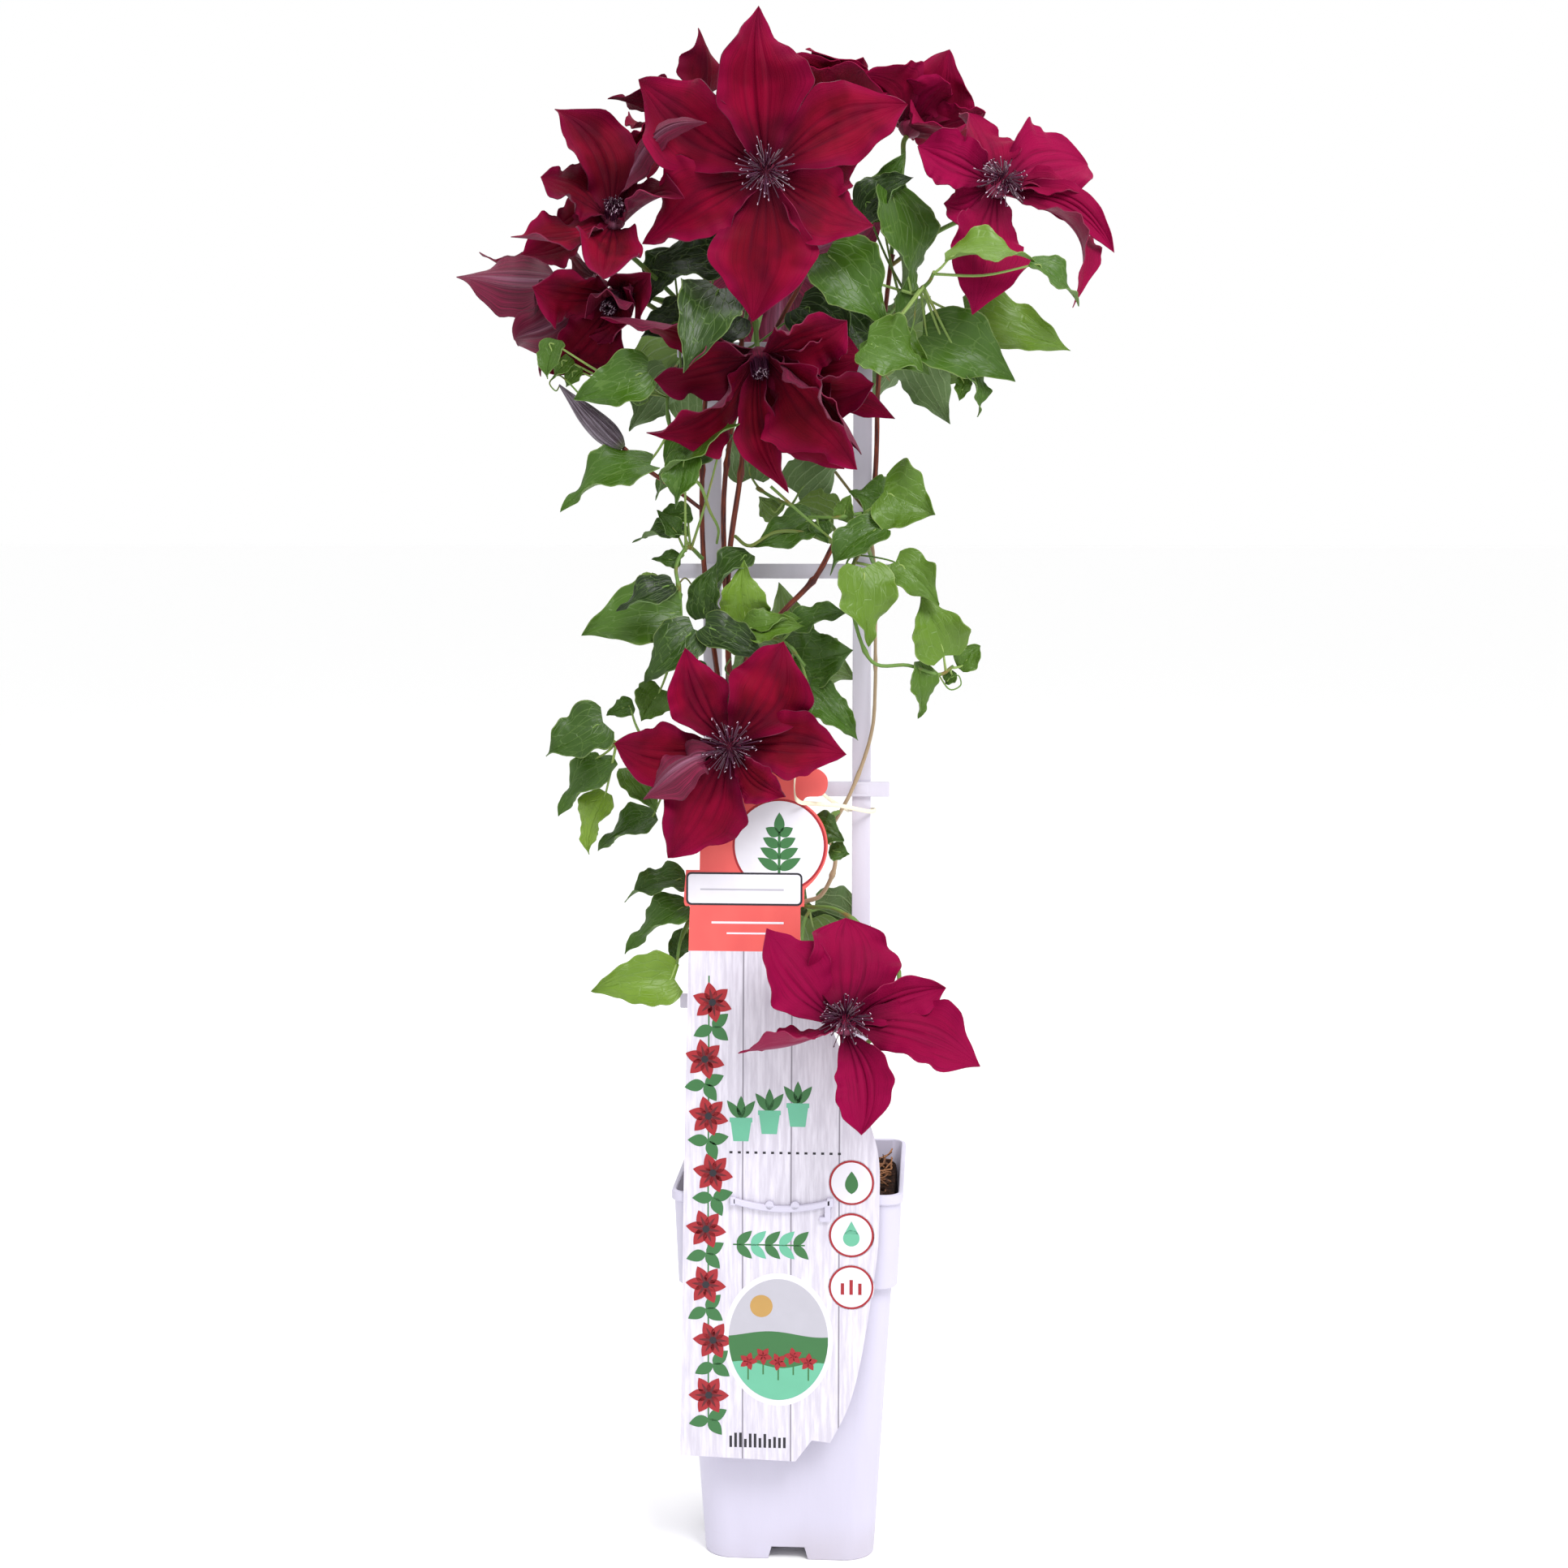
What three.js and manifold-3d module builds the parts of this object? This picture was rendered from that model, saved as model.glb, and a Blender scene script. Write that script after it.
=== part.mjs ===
// A large-flowered clematis trained up a small white ladder trellis in a square nursery pot.
// Millimetres, +Z up, the origin on the floor under the middle of the pot, -Y the side with the label.
import * as THREE from "three";
import { mergeVertices } from "three/addons/utils/BufferGeometryUtils.js";
import Module from "manifold-3d";

const wasm = await Module();
wasm.setup();

// ---- sizes that drive the part ----
const seat = 0.3; // air left between two pieces that touch
const potHeight = 207;
const rimHalf = 61;
const collarHalf = 58.5;
const shoulderHalf = 55.5;
const footHalf = 46;
const shoulderHeight = 155;
const potWall = 2;
const floorTop = 10;
const footDepth = 7.5;
const notchHalf = 11;
const soilHeight = 196;
const railWidth = 10;
const railFoot = 108;
const railTop = 656;
const railX = [-44.3, 36.8];
const rungHeights = [651, 533, 415, 297];
const rungLeft = -62.6;
const rungRight = 52;
const labelThickness = 1;
const stemRadius = 1.4;
const shootRadius = 1.15;
const petioleRadius = 0.9;
const petioleTip = 0.4;
const petalThickness = 1;
const leafThickness = 0.95;
const plantTurn = 3.6; // degrees the plant is turned on its root, seen against the pot

// ---- small tools ----
const vec = (p) => new THREE.Vector3(p[0], p[1], p[2]);
const radians = THREE.MathUtils.degToRad;
const up = new THREE.Vector3(0, 0, 1);

// A repeatable number from 0 to 1 for one seed and one use of it.
function jitter(seed, use) {
  const s = Math.sin(seed * 12.9898 + use * 78.233) * 43758.5453;
  return s - Math.floor(s);
}

// A closed three.js geometry as a solid that can be joined and cut.
function solidFrom(geometry) {
  geometry.deleteAttribute("normal");
  geometry.deleteAttribute("uv");
  const merged = mergeVertices(geometry, 1e-4);
  return new wasm.Manifold(
    new wasm.Mesh({
      numProp: 3,
      vertProperties: merged.attributes.position.array,
      triVerts: new Uint32Array(merged.index.array),
    }),
  );
}

function solidOf(points, triangles) {
  const geometry = new THREE.BufferGeometry();
  geometry.setAttribute("position", new THREE.Float32BufferAttribute(points.flat(), 3));
  geometry.setIndex(triangles.flat());
  return solidFrom(geometry);
}

function geometryOf(solid) {
  const data = solid.getMesh();
  const geometry = new THREE.BufferGeometry();
  geometry.setAttribute("position", new THREE.BufferAttribute(data.vertProperties, 3));
  geometry.setIndex(new THREE.BufferAttribute(data.triVerts, 1));
  return geometry.toNonIndexed();
}

const fuse = (solids) => wasm.Manifold.union(solids);
const placed = (solid, matrix) => solidFrom(geometryOf(solid).applyMatrix4(matrix));

function box(x0, x1, y0, y1, z0, z1) {
  const geometry = new THREE.BoxGeometry(x1 - x0, y1 - y0, z1 - z0);
  return solidFrom(geometry.translate((x0 + x1) / 2, (y0 + y1) / 2, (z0 + z1) / 2));
}

// Closed loops of points, all with the same count, joined one to the next and capped at both ends.
function loft(rings) {
  const count = rings[0].length;
  const points = rings.flat();
  const triangles = [];
  for (let r = 0; r + 1 < rings.length; r += 1) {
    for (let i = 0; i < count; i += 1) {
      const a = r * count + i;
      const b = r * count + ((i + 1) % count);
      triangles.push([a, b, b + count], [a, b + count, a + count]);
    }
  }
  const last = (rings.length - 1) * count;
  for (let i = 1; i + 1 < count; i += 1) {
    triangles.push([0, i + 1, i]);
    triangles.push([last, last + i, last + i + 1]);
  }
  return solidOf(points, triangles);
}

// A square with rounded corners at one height, counter-clockwise seen from above.
function squareRing(half, radius, z, perCorner = 2) {
  const ring = [];
  const signs = [[1, 1], [-1, 1], [-1, -1], [1, -1]];
  signs.forEach(([sx, sy], corner) => {
    for (let i = 0; i <= perCorner; i += 1) {
      const angle = radians(90 * corner + (90 * i) / perCorner);
      ring.push([
        sx * (half - radius) + radius * Math.cos(angle),
        sy * (half - radius) + radius * Math.sin(angle),
        z,
      ]);
    }
  });
  return ring;
}

const lineOf = (path) => path.map(vec);

// A round bar along a line of points, with the radius running from one end to the other.
function tube(line, radiusStart, radiusEnd, sides) {
  const rings = [];
  let side = null;
  line.forEach((point, i) => {
    const before = line[Math.max(0, i - 1)];
    const after = line[Math.min(line.length - 1, i + 1)];
    const ahead = after.clone().sub(before).normalize();
    if (!side) side = Math.abs(ahead.z) < 0.9 ? up.clone() : new THREE.Vector3(0, 1, 0);
    side.addScaledVector(ahead, -side.dot(ahead)).normalize();
    const other = ahead.clone().cross(side);
    const radius = radiusStart + ((radiusEnd - radiusStart) * i) / (line.length - 1);
    const ring = [];
    for (let k = 0; k < sides; k += 1) {
      const angle = (2 * Math.PI * k) / sides;
      const p = point
        .clone()
        .addScaledVector(side, radius * Math.cos(angle))
        .addScaledVector(other, radius * Math.sin(angle));
      ring.push(p.toArray());
    }
    rings.push(ring);
  });
  return loft(rings);
}

// ---- petals and leaves ----
// Half widths along the blade, as a share of half its width. Base first, the last row is the point.
const petalRows = [0, 0.2, 0.5, 0.78, 1];
const petalShares = [0.14, 0.5, 1, 0.58, 0];
const bluntShares = [0.14, 0.62, 1, 0.92, 0];
const leafRows = [0, 0.26, 0.64, 1];
const leafShares = [0.62, 1, 0.64, 0];
const smallRows = [0, 0.35, 1];
const smallShares = [0.6, 1, 0];

// Where the middle of a blade runs at a share u of its length, and how it lies there. Its sway
// bows it sideways, to the right as seen from its base, and it turns on itself past its base.
function frameAt(spec, u) {
  const chord = spec.tip.clone().sub(spec.base);
  const forward = chord.clone().normalize();
  const normal = spec.face.clone().addScaledVector(forward, -spec.face.dot(forward)).normalize();
  normal.applyAxisAngle(forward, radians(spec.roll));
  const side = forward.clone().cross(normal);
  const arc = Math.max(radians(spec.bend), 0.02);
  const scale = chord.length() / (2 * Math.sin(arc / 2));
  const tilt = arc * (0.5 - u);
  const along = scale * (Math.sin(arc / 2) - Math.sin(tilt));
  const rise = scale * (Math.cos(tilt) - Math.cos(arc / 2));
  const spot = spec.base.clone().addScaledVector(forward, along).addScaledVector(normal, rise);
  spot.addScaledVector(side, spec.sway * chord.length() * Math.sin(Math.PI * u));
  const level = Math.cos(tilt);
  const climb = Math.sin(tilt);
  const ahead = forward.clone().multiplyScalar(level).addScaledVector(normal, climb);
  const raised = normal.clone().multiplyScalar(level).addScaledVector(forward, -climb);
  const twist = radians(spec.twist * u + spec.turn * Math.min(1, 3 * u));
  raised.applyAxisAngle(ahead, twist);
  return { spot, ahead, across: side.applyAxisAngle(ahead, twist), raised };
}

// One petal or leaf: a thin arched blade from its base to its tip. The face is the side it shows.
function blade(spec) {
  const { width, rows, shares, columns, thick } = spec;
  const length = spec.tip.distanceTo(spec.base);
  const front = [];
  const back = [];
  rows.forEach((u, row) => {
    const { spot, ahead, across, raised } = frameAt(spec, u);
    const half = (width / 2) * shares[row];
    const count = half === 0 ? 0 : columns;
    for (let c = 0; c <= count; c += 1) {
      const v = count === 0 ? 0 : -1 + (2 * c) / columns;
      const wave = Math.sin(2 * Math.PI * spec.waves * u + spec.phase + (v > 0 ? 2.1 : 0));
      const folded = spec.fold * Math.abs(v) * Math.min(1, 0.3 + 2 * u);
      const bowl = half * (spec.cup * v * v + folded);
      const height = bowl + spec.ripple * width * wave * v * v * Math.min(1, 4 * u);
      const backward = spec.lobe * length * Math.abs(v) * Math.max(0, 1 - u / 0.2);
      const p = spot.clone()
        .addScaledVector(across, half * v)
        .addScaledVector(raised, height)
        .addScaledVector(ahead, -backward);
      front.push(p.clone().addScaledVector(raised, thick / 2).toArray());
      back.push(p.clone().addScaledVector(raised, -thick / 2).toArray());
    }
  });
  const total = front.length;
  const triangles = [];
  const quad = (a, b, c, d) => triangles.push([a, b, c], [a, c, d]);
  const full = rows.length - 2;
  const wide = columns + 1;
  for (let r = 0; r < full; r += 1) {
    for (let c = 0; c < columns; c += 1) {
      const a = r * wide + c;
      quad(a, a + 1, a + 1 + wide, a + wide);
      triangles.push([total + a, total + a + 1 + wide, total + a + 1]);
      triangles.push([total + a, total + a + wide, total + a + 1 + wide]);
    }
    const left = r * wide;
    const right = left + columns;
    quad(left, left + wide, total + left + wide, total + left);
    quad(right + wide, right, total + right, total + right + wide);
  }
  const end = full * wide;
  const point = total - 1;
  for (let c = 0; c < columns; c += 1) {
    triangles.push([end + c, end + c + 1, point]);
    triangles.push([total + end + c, total + point, total + end + c + 1]);
    quad(c + 1, c, total + c, total + c + 1);
  }
  quad(end, point, total + point, total + end);
  quad(point, end + columns, total + end + columns, total + point);
  return solidOf([...front, ...back], triangles);
}

// ---- the group and its materials ----
const root = new THREE.Group();
root.name = "clematis_on_trellis";
const holder = new THREE.Group(); // pot, soil, trellis, label and tie
const plant = new THREE.Group(); // everything that grew
plant.rotation.z = radians(plantTurn);
root.add(holder, plant);

const finishes = {
  pot: { color: 0xe9e6f0, roughness: 0.42 },
  trellis: { color: 0xecebf3, roughness: 0.4 },
  soil: { color: 0x4a3020, roughness: 0.95 },
  label: { color: 0xf0eef2, roughness: 0.5 },
  tie: { color: 0xe9dcc2, roughness: 0.6 },
  stem: { color: 0x7d4a30, roughness: 0.6 },
  leaf: { color: 0x2f6a28, roughness: 0.5 },
  petal: { color: 0x8c0f34, roughness: 0.55 },
  stamen: { color: 0x3c1630, roughness: 0.6 },
  bud: { color: 0x56475a, roughness: 0.6 },
};

function add(group, name, solid, finish) {
  const geometry = geometryOf(solid);
  geometry.computeVertexNormals();
  const material = new THREE.MeshStandardMaterial({ ...finishes[finish], metalness: 0 });
  const mesh = new THREE.Mesh(geometry, material);
  mesh.name = name;
  group.add(mesh);
}

// ---- pot ----
const potCorner = 9;

function potSolid() {
  const outer = loft([
    squareRing(footHalf, 16, 0),
    squareRing(shoulderHalf, 13, shoulderHeight),
    squareRing(collarHalf, potCorner + 2, shoulderHeight),
    squareRing(rimHalf - 0.9, potCorner, potHeight - 6),
    squareRing(rimHalf + 0.5, potCorner, potHeight - 5),
    squareRing(rimHalf + 0.5, potCorner, potHeight - 1),
    squareRing(rimHalf, potCorner, potHeight),
  ]);
  const inner = loft([
    squareRing(footHalf - potWall + 0.6, 14, floorTop),
    squareRing(shoulderHalf - potWall, 11, shoulderHeight - 1),
    squareRing(collarHalf - potWall, potCorner, shoulderHeight + 1.5),
    squareRing(rimHalf - potWall, potCorner - 2, potHeight + 1),
  ]);
  const under = loft([
    squareRing(footHalf - 2.6, 14, -1),
    squareRing(footHalf - 2.4, 14, footDepth),
  ]);
  const reach = 80;
  const across = (x, z) => [[-x, -reach, z], [x, -reach, z], [x, reach, z], [-x, reach, z]];
  const notch = loft([across(notchHalf, -1), across(notchHalf - 2, footDepth)]);
  const quarter = new THREE.Matrix4().makeRotationZ(Math.PI / 2);
  return outer.subtract(inner).subtract(under).subtract(notch).subtract(placed(notch, quarter));
}

// The strap moulded on the front of the rim: the label hangs behind it.
function strapSolid() {
  const low = -65.6;
  const high = -63.25;
  const tops = [
    [-27.4, 205.6], [-20, 203.7], [-11, 202.2], [-2, 201.6], [7, 202.1], [16, 203.6], [23, 205.4],
  ];
  const rings = tops.map(([x, z]) => [
    [x, low, z - 3.4],
    [x, high, z - 3.4],
    [x, high, z],
    [x, low, z],
  ]);
  const band = loft(rings);
  const ends = [
    box(-29.4, -26.4, low, -59.8, 201.6, 206.2),
    box(21.6, 25, low, -59.8, 201.4, 206.2),
    box(20.4, 23.6, low + 0.2, high, 193.4, 204),
    box(17.6, 21.4, low + 0.2, high, 193.4, 196),
  ];
  const nubs = [-8.6, 4.9].map((x) => {
    const round = new THREE.CylinderGeometry(2.4, 2.4, high - low, 8);
    return solidFrom(round.translate(x, (low + high) / 2, 201.8));
  });
  return fuse([band, ...ends, ...nubs]);
}

add(holder, "pot", potSolid().add(strapSolid()), "pot");

// ---- trellis: two rails with four rungs across their front ----
const railFront = 6;
const railBack = 9;
const rungFront = 3.4;

function trellisSolid() {
  const pieces = [];
  for (const x of railX) {
    pieces.push(box(x - railWidth / 2, x + railWidth / 2, railFront, railBack, railFoot, railTop));
    pieces.push(box(x - 1.6, x + 1.6, railBack - 0.5, railBack + 3.2, railFoot, railTop - 2));
  }
  for (const z of rungHeights) {
    pieces.push(box(rungLeft, rungRight, rungFront, railFront + 0.4, z - 4, z + 4));
  }
  return fuse(pieces);
}

add(holder, "trellis", trellisSolid(), "trellis");

// ---- stems: a woody crown, climbing stems and the flower stalks, one plant ----
const crownX = 0;
const crownY = -8;
const crownBottom = 174;
const crownRadius = 8;

// Each climbing stem by its points from the crown up.
const stems = {
  left: [
    [-3, -8, 196], [-10, -9, 225], [-24, -8, 290], [-36, -7, 350], [-42, -6, 410], [-39, -3, 460],
    [-41, -2, 478], [-47, -1, 525], [-49, -1, 563], [-48, -1, 607], [-46, -3, 650], [-52, -9, 676],
  ],
  middle: [
    [-1, -8, 196], [-6, -8, 240], [-18, -9, 310], [-30, -9, 380], [-35, -8, 440], [-35, -3, 491],
    [-37, -3, 539], [-37, -4, 575], [-33, -4, 610], [-28, -7, 650], [-22, -12, 690],
  ],
  right: [
    [2, -8, 196], [-2, -9, 260], [-12, -13, 340], [-22, -14, 420], [-26, -9, 470], [-23, -6, 491],
    [-5, -5, 512], [12, -4, 530], [24, -4, 551], [38, -3, 562], [43, -3, 578], [44.5, -2, 601],
    [45, -2, 630], [48, -4, 665], [52, -6, 700],
  ],
  thin: [
    [4, -8, 196], [8, -7, 250], [6, -6, 310], [2, -7, 349], [15, -7, 358], [22, -8, 372], [22, -8, 384],
    [16, -8, 391], [22, -9, 398], [33, -9, 419], [42, -7, 446], [44, -7, 470], [44, -6, 499],
    [44, -4, 530], [40, -3, 562],
  ],
  second: [
    [-20, -12, 418], [-33, -12, 470], [-35, -11, 508], [-34, -11, 543], [-28, -11, 585], [-24, -11, 622],
    [-12, -10, 655], [6, -6, 690], [16, -2, 722],
  ],
};
const stemLines = {};
for (const [name, path] of Object.entries(stems)) stemLines[name] = lineOf(path);

// The point of a stem at one height.
function onStem(name, height) {
  const line = stemLines[name];
  for (let i = 0; i + 1 < line.length; i += 1) {
    const a = line[i];
    const b = line[i + 1];
    if ((a.z - height) * (b.z - height) <= 0 && a.z !== b.z) {
      return a.clone().lerp(b, (height - a.z) / (b.z - a.z));
    }
  }
  throw new Error(`${name} does not reach ${height}`);
}

// ---- flowers ----
const petalSeat = 3.9; // how far out from the middle a petal begins
const cupDepth = 6; // from the middle back to the end of the stalk
const buttonTop = 3;
const stamenTop = 8.6;

// Petals: reach of the tip from the middle of the flower, width, bend, turn, sway, how blunt and how
// folded. The stalk leaves the named stem at a height and runs through the points to the back of
// the flower.
const flowers = {
  main: {
    at: [-14, -75, 733], axis: [0, -1, 0.08], seed: 1, spikes: 11,
    stalk: ["middle", 684, [-20, -34, 708], [-17, -56, 731]],
    petals: [
      [-5, 7, 81, 46, 28, 8, -0.04, 0.1, 0.15], [72, 15, 36, 42, 32, 6, -0.07, 0.15, 0.1],
      [52, 12, -26, 40, 26, -12, 0.05, 0.45, 0], [-7, 5, -73, 53, 28, 0, -0.04, 0.15, 0],
      [-61, 17, -34, 44, 32, 12, 0.06, 0.3, 0.1], [-65, 19, 49, 45, 30, -10, -0.06, 0.25, 0.1],
      [49, 31, 15, 40, 18, 0, 0, 0.4, 0], [14, 26, 44, 36, 16, 0, 0.05, 0.3, 0],
    ],
  },
  right: {
    at: [104, -45, 730], axis: [0.35, -0.8, 0.45], seed: 2, spikes: 11,
    stalk: ["right", 694, [74, -14, 710], [92, -27, 718]],
    petals: [
      [-14, 24, 39, 36, 32, 8, 0, 0.9, 0.2], [50, 30, 16, 42, 24, -8, -0.1, 1, 0],
      [59, -8, -34, 20, 44, 26, -0.16, 0.4, 0.1], [39, -24, -62, 30, 40, -30, -0.3, 0.3, 0.1],
      [-13, -32, -66, 42, 26, 0, 0.02, 0.35, 0.1], [-40, 4, 20, 30, 36, -34, -0.06, 0.6, 0.3],
      [-26, 14, -7, 30, 30, -10, -0.2, 0.3, 0], [45, 0, -4, 16, 24, 6, -0.1, 0.2, 0.1],
    ],
  },
  left_high: {
    at: [-92, -50, 713], axis: [0.1, -0.75, 0.65], open: 0.42, seed: 3, spikes: 11,
    stalk: ["left", 664, [-70, -26, 684], [-86, -40, 698]],
    petals: [
      [-30, 8, 57, 38, 40, 0, 0.16, 0.2, 0.2], [-36, -14, 18, 36, 30, 10, 0.08, 0.8, 0],
      [36, -30, 10, 30, 34, -16, -0.06, 0.2, 0.3], [49, -40, 41, 15, 50, 20, -0.2, 0.2, 0.3],
      [-3, -46, -36, 34, 26, 0, 0, 0.5, 0.2], [-50, -22, -11, 30, 30, 14, -0.18, 0.3, 0.1],
    ],
  },
  left_side: {
    at: [-103, -20, 682], axis: [-0.9, -0.1, -0.25], open: 0.3, seed: 4, spikes: 7,
    stalk: ["left", 664, [-66, -14, 674], [-88, -18, 680]],
    petals: [
      [-72, -6, 7, 42, 28, -40, 0.1, 0.3, 0], [-44, -30, -28, 38, 30, -10, 0.12, 0.4, 0.1],
      [-33, 8, -45, 30, 34, 30, 0.14, 0.2, 0.2], [-63, 14, 19, 34, 24, -30, -0.1, 0.4, 0],
      [-22, 38, 30, 34, 20, 0, 0, 0, 0], [-28, 24, -40, 30, 24, 0, 0, 0.2, 0],
    ],
  },
  left_low: {
    at: [-92, -44, 674], axis: [-0.3, -0.8, -0.5], open: 0.3, seed: 5, spikes: 7,
    stalk: ["left", 652, [-62, -16, 664], [-82, -30, 676]],
    petals: [
      [-35, 4, -37, 34, 36, -10, -0.12, 0.3, 0.25], [7, -12, -14, 38, 30, 0, 0.1, 0.9, 0],
      [19, -30, 9, 30, 28, 0, 0, 0.4, 0.3], [-40, -28, 4, 34, 26, 0, 0, 0.6, 0.1],
      [-1, -40, 3, 24, 44, 30, 0, 0.3, 0.5],
    ],
  },
  back_left: {
    at: [-57, 15, 764], axis: [-0.3, 0.35, 0.85], open: 0.5, seed: 6, spikes: 7,
    stalk: ["middle", 680, [-34, -4, 716], [-50, 4, 744]],
    petals: [
      [-41, -10, 19, 34, 28, -16, -0.1, 0.2, 0.3], [-33, -12, -8, 34, 28, 10, 0.1, 0.6, 0.2],
      [10, -16, 52, 32, 24, 10, -0.12, 0.6, 0.1], [-34, 44, 14, 34, 22, 0, 0, 0, 0],
      [16, 56, 8, 36, 22, 0, 0, 0, 0], [-24, 46, -14, 34, 22, 0, 0, 0, 0],
    ],
  },
  back_middle: {
    at: [14, 20, 770], axis: [0, 0.35, 0.93], open: 0.5, seed: 7, spikes: 7,
    stalk: ["second", 712, [14, 4, 738]],
    petals: [
      [-27, -20, 34, 34, 34, -20, -0.16, 0.5, 0.2], [-22, -30, 30, 26, 60, 24, -0.3, 0.4, 0.1],
      [-6, -26, 38, 28, 56, -16, -0.3, 0.5, 0.1], [23, -44, 23, 34, 30, -40, -0.1, 0.9, 0],
      [2, 56, 30, 38, 22, 0, 0, 0, 0], [-26, 54, 6, 36, 22, 0, 0, 0, 0],
      [28, 53, 2, 36, 22, 0, 0, 0, 0], [23, -18, 32, 28, 30, 0, -0.1, 0.7, 0.2],
    ],
  },
  back_right: {
    at: [62, 12, 768], axis: [0.3, 0.45, 0.75], open: 0.5, seed: 8, spikes: 7,
    stalk: ["right", 694, [54, -4, 728], [58, 4, 748]],
    petals: [
      [19, -12, 38, 40, 34, -20, -0.1, 0.3, 0.2], [20, -22, 21, 28, 30, 10, 0.1, 0.3, 0.2],
      [40, -16, 8, 24, 40, 16, -0.2, 0.4, 0.2], [20, 56, 22, 36, 22, 0, 0, 0, 0],
      [42, 44, -6, 34, 22, 0, 0, 0, 0], [-16, 50, 12, 30, 20, 0, 0, 0, 0],
      [15, -36, -6, 34, 26, 10, -0.1, 0.8, 0.1],
    ],
  },
  nodding: {
    at: [-18, -45, 644], axis: [0.1, -0.6, -0.75], open: 0.3, seed: 9, spikes: 11,
    stalk: ["middle", 664, [-22, -26, 676], [-20, -38, 664]],
    petals: [
      [-79, -23, 21, 30, 8, -24, 0.04, 0.3, 0.1], [-57, -14, -40, 36, 34, 0, -0.14, 0.4, 0.3],
      [15, 2, -70, 24, 34, 24, 0.1, 0.3, 0.3], [51, -20, -57, 46, 30, -8, -0.1, 0.2, 0.3],
      [55, -18, -46, 34, 30, 16, -0.12, 0.3, 0.3], [59, -6, -13, 42, 44, 0, 0.16, 0.7, 0.2],
      [71, 20, -27, 26, 26, 0, 0, 0.3, 0], [46, -14, 16, 42, 30, -4, -0.1, 0.6, 0.2],
    ],
  },
  low_left: {
    at: [-33, -70, 445], axis: [0.05, -1, 0.05], seed: 10, spikes: 11,
    stalk: ["middle", 436, [-34, -30, 446], [-33, -54, 446]],
    petals: [
      [-23, 4, 50, 32, 28, 6, -0.1, 0.3, 0.1], [28, 8, 54, 44, 26, 0, 0.1, 0.4, 0.05],
      [59, 8, -4, 36, 28, -6, -0.06, 0.35, 0.1], [29, -6, -25, 22, 36, 24, 0.12, 0.5, 0.2],
      [-32, 4, -60, 44, 26, 0, -0.06, 0.2, 0.1], [-43, -10, -27, 26, 40, 46, 0.12, 0.3, 0.3],
      [-60, 8, 1, 34, 30, 10, -0.14, 0.7, 0.1],
    ],
  },
  lowest: {
    at: [26, -85, 303], axis: [0.05, -0.75, 0.65], seed: 11, spikes: 11,
    stalk: ["thin", 352, [28, -22, 350], [56, -40, 322], [40, -64, 290]],
    petals: [
      [-41, 6, 47, 38, 28, 0, -0.1, 0.9, 0.1], [2, 22, 53, 48, 24, 6, 0.06, 1, 0],
      [53, 10, 17, 24, 32, 34, -0.05, 0.6, 0.4], [70, -4, -21, 38, 32, 0, -0.08, 0.5, 0.05],
      [9, -22, -52, 30, 30, 10, -0.1, 0.8, 0.3], [-55, -12, -11, 26, 30, 60, -0.1, 0.2, 0.2],
    ],
  },
  rear: {
    at: [-6, 90, 706], axis: [0, 1, 0.1], seed: 12, spikes: 11,
    stalk: ["middle", 604, [-28, 10, 628], [-18, 42, 672], [-8, 72, 700]],
    petals: [
      [0, 4, 68, 44, 26, 0, 0.04, 0.2, 0], [60, 6, 34, 42, 28, 6, -0.06, 0.3, 0.1],
      [56, 4, -36, 40, 26, -6, 0.05, 0.2, 0], [0, 6, -68, 44, 26, 0, -0.04, 0.3, 0.1],
      [-58, 4, -34, 42, 28, 0, 0.05, 0.2, 0], [-56, 6, 36, 42, 26, 4, -0.05, 0.3, 0.1],
    ],
  },
};

// Rings round a line: [distance along the axis, radius]. Every second point can be pulled in.
function spindle(middle, axis, steps, sides, pull = 1) {
  const side = new THREE.Vector3(axis.z, 0, -axis.x);
  if (side.length() < 0.3) side.set(1, 0, 0);
  side.addScaledVector(axis, -side.dot(axis)).normalize();
  const other = axis.clone().cross(side);
  return loft(steps.map(([along, radius]) => {
    const ring = [];
    for (let k = 0; k < sides; k += 1) {
      const angle = (2 * Math.PI * k) / sides;
      const reach = k % 2 ? radius * pull : radius;
      ring.push(middle.clone()
        .addScaledVector(axis, along)
        .addScaledVector(side, reach * Math.cos(angle))
        .addScaledVector(other, reach * Math.sin(angle))
        .toArray());
    }
    return ring;
  }));
}

function petalsOf(flower) {
  const middle = vec(flower.at);
  const axis = vec(flower.axis).normalize();
  const pieces = flower.petals.map((row, i) => {
    const [, , , width, bend, turn, sway, blunt, fold] = row;
    const tip = middle.clone().add(vec(row));
    const out = vec(row).addScaledVector(axis, -vec(row).dot(axis)).normalize();
    const seed = flower.seed * 20 + i;
    const level = [-2.2, 0.4][i % 2];
    const base = middle.clone().addScaledVector(out, petalSeat).addScaledVector(axis, level);
    const shares = petalShares.map((share, k) => share + (bluntShares[k] - share) * blunt);
    return blade({
      base, tip, face: axis, width, bend, roll: 0, turn, sway,
      rows: petalRows, shares, columns: 2, thick: petalThickness,
      twist: 36 * (jitter(seed, 1) - 0.5), cup: 0.1, fold: fold - 0.06, ripple: 0.08,
      waves: 1.1 + 0.9 * jitter(seed, 2), phase: 6.28 * jitter(seed, 3), lobe: 0,
    });
  });
  pieces.push(spindle(middle, axis, [[-cupDepth, 2.2], [-1.8, 6.6], [buttonTop, 5.2]], 5));
  return fuse(pieces);
}

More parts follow.
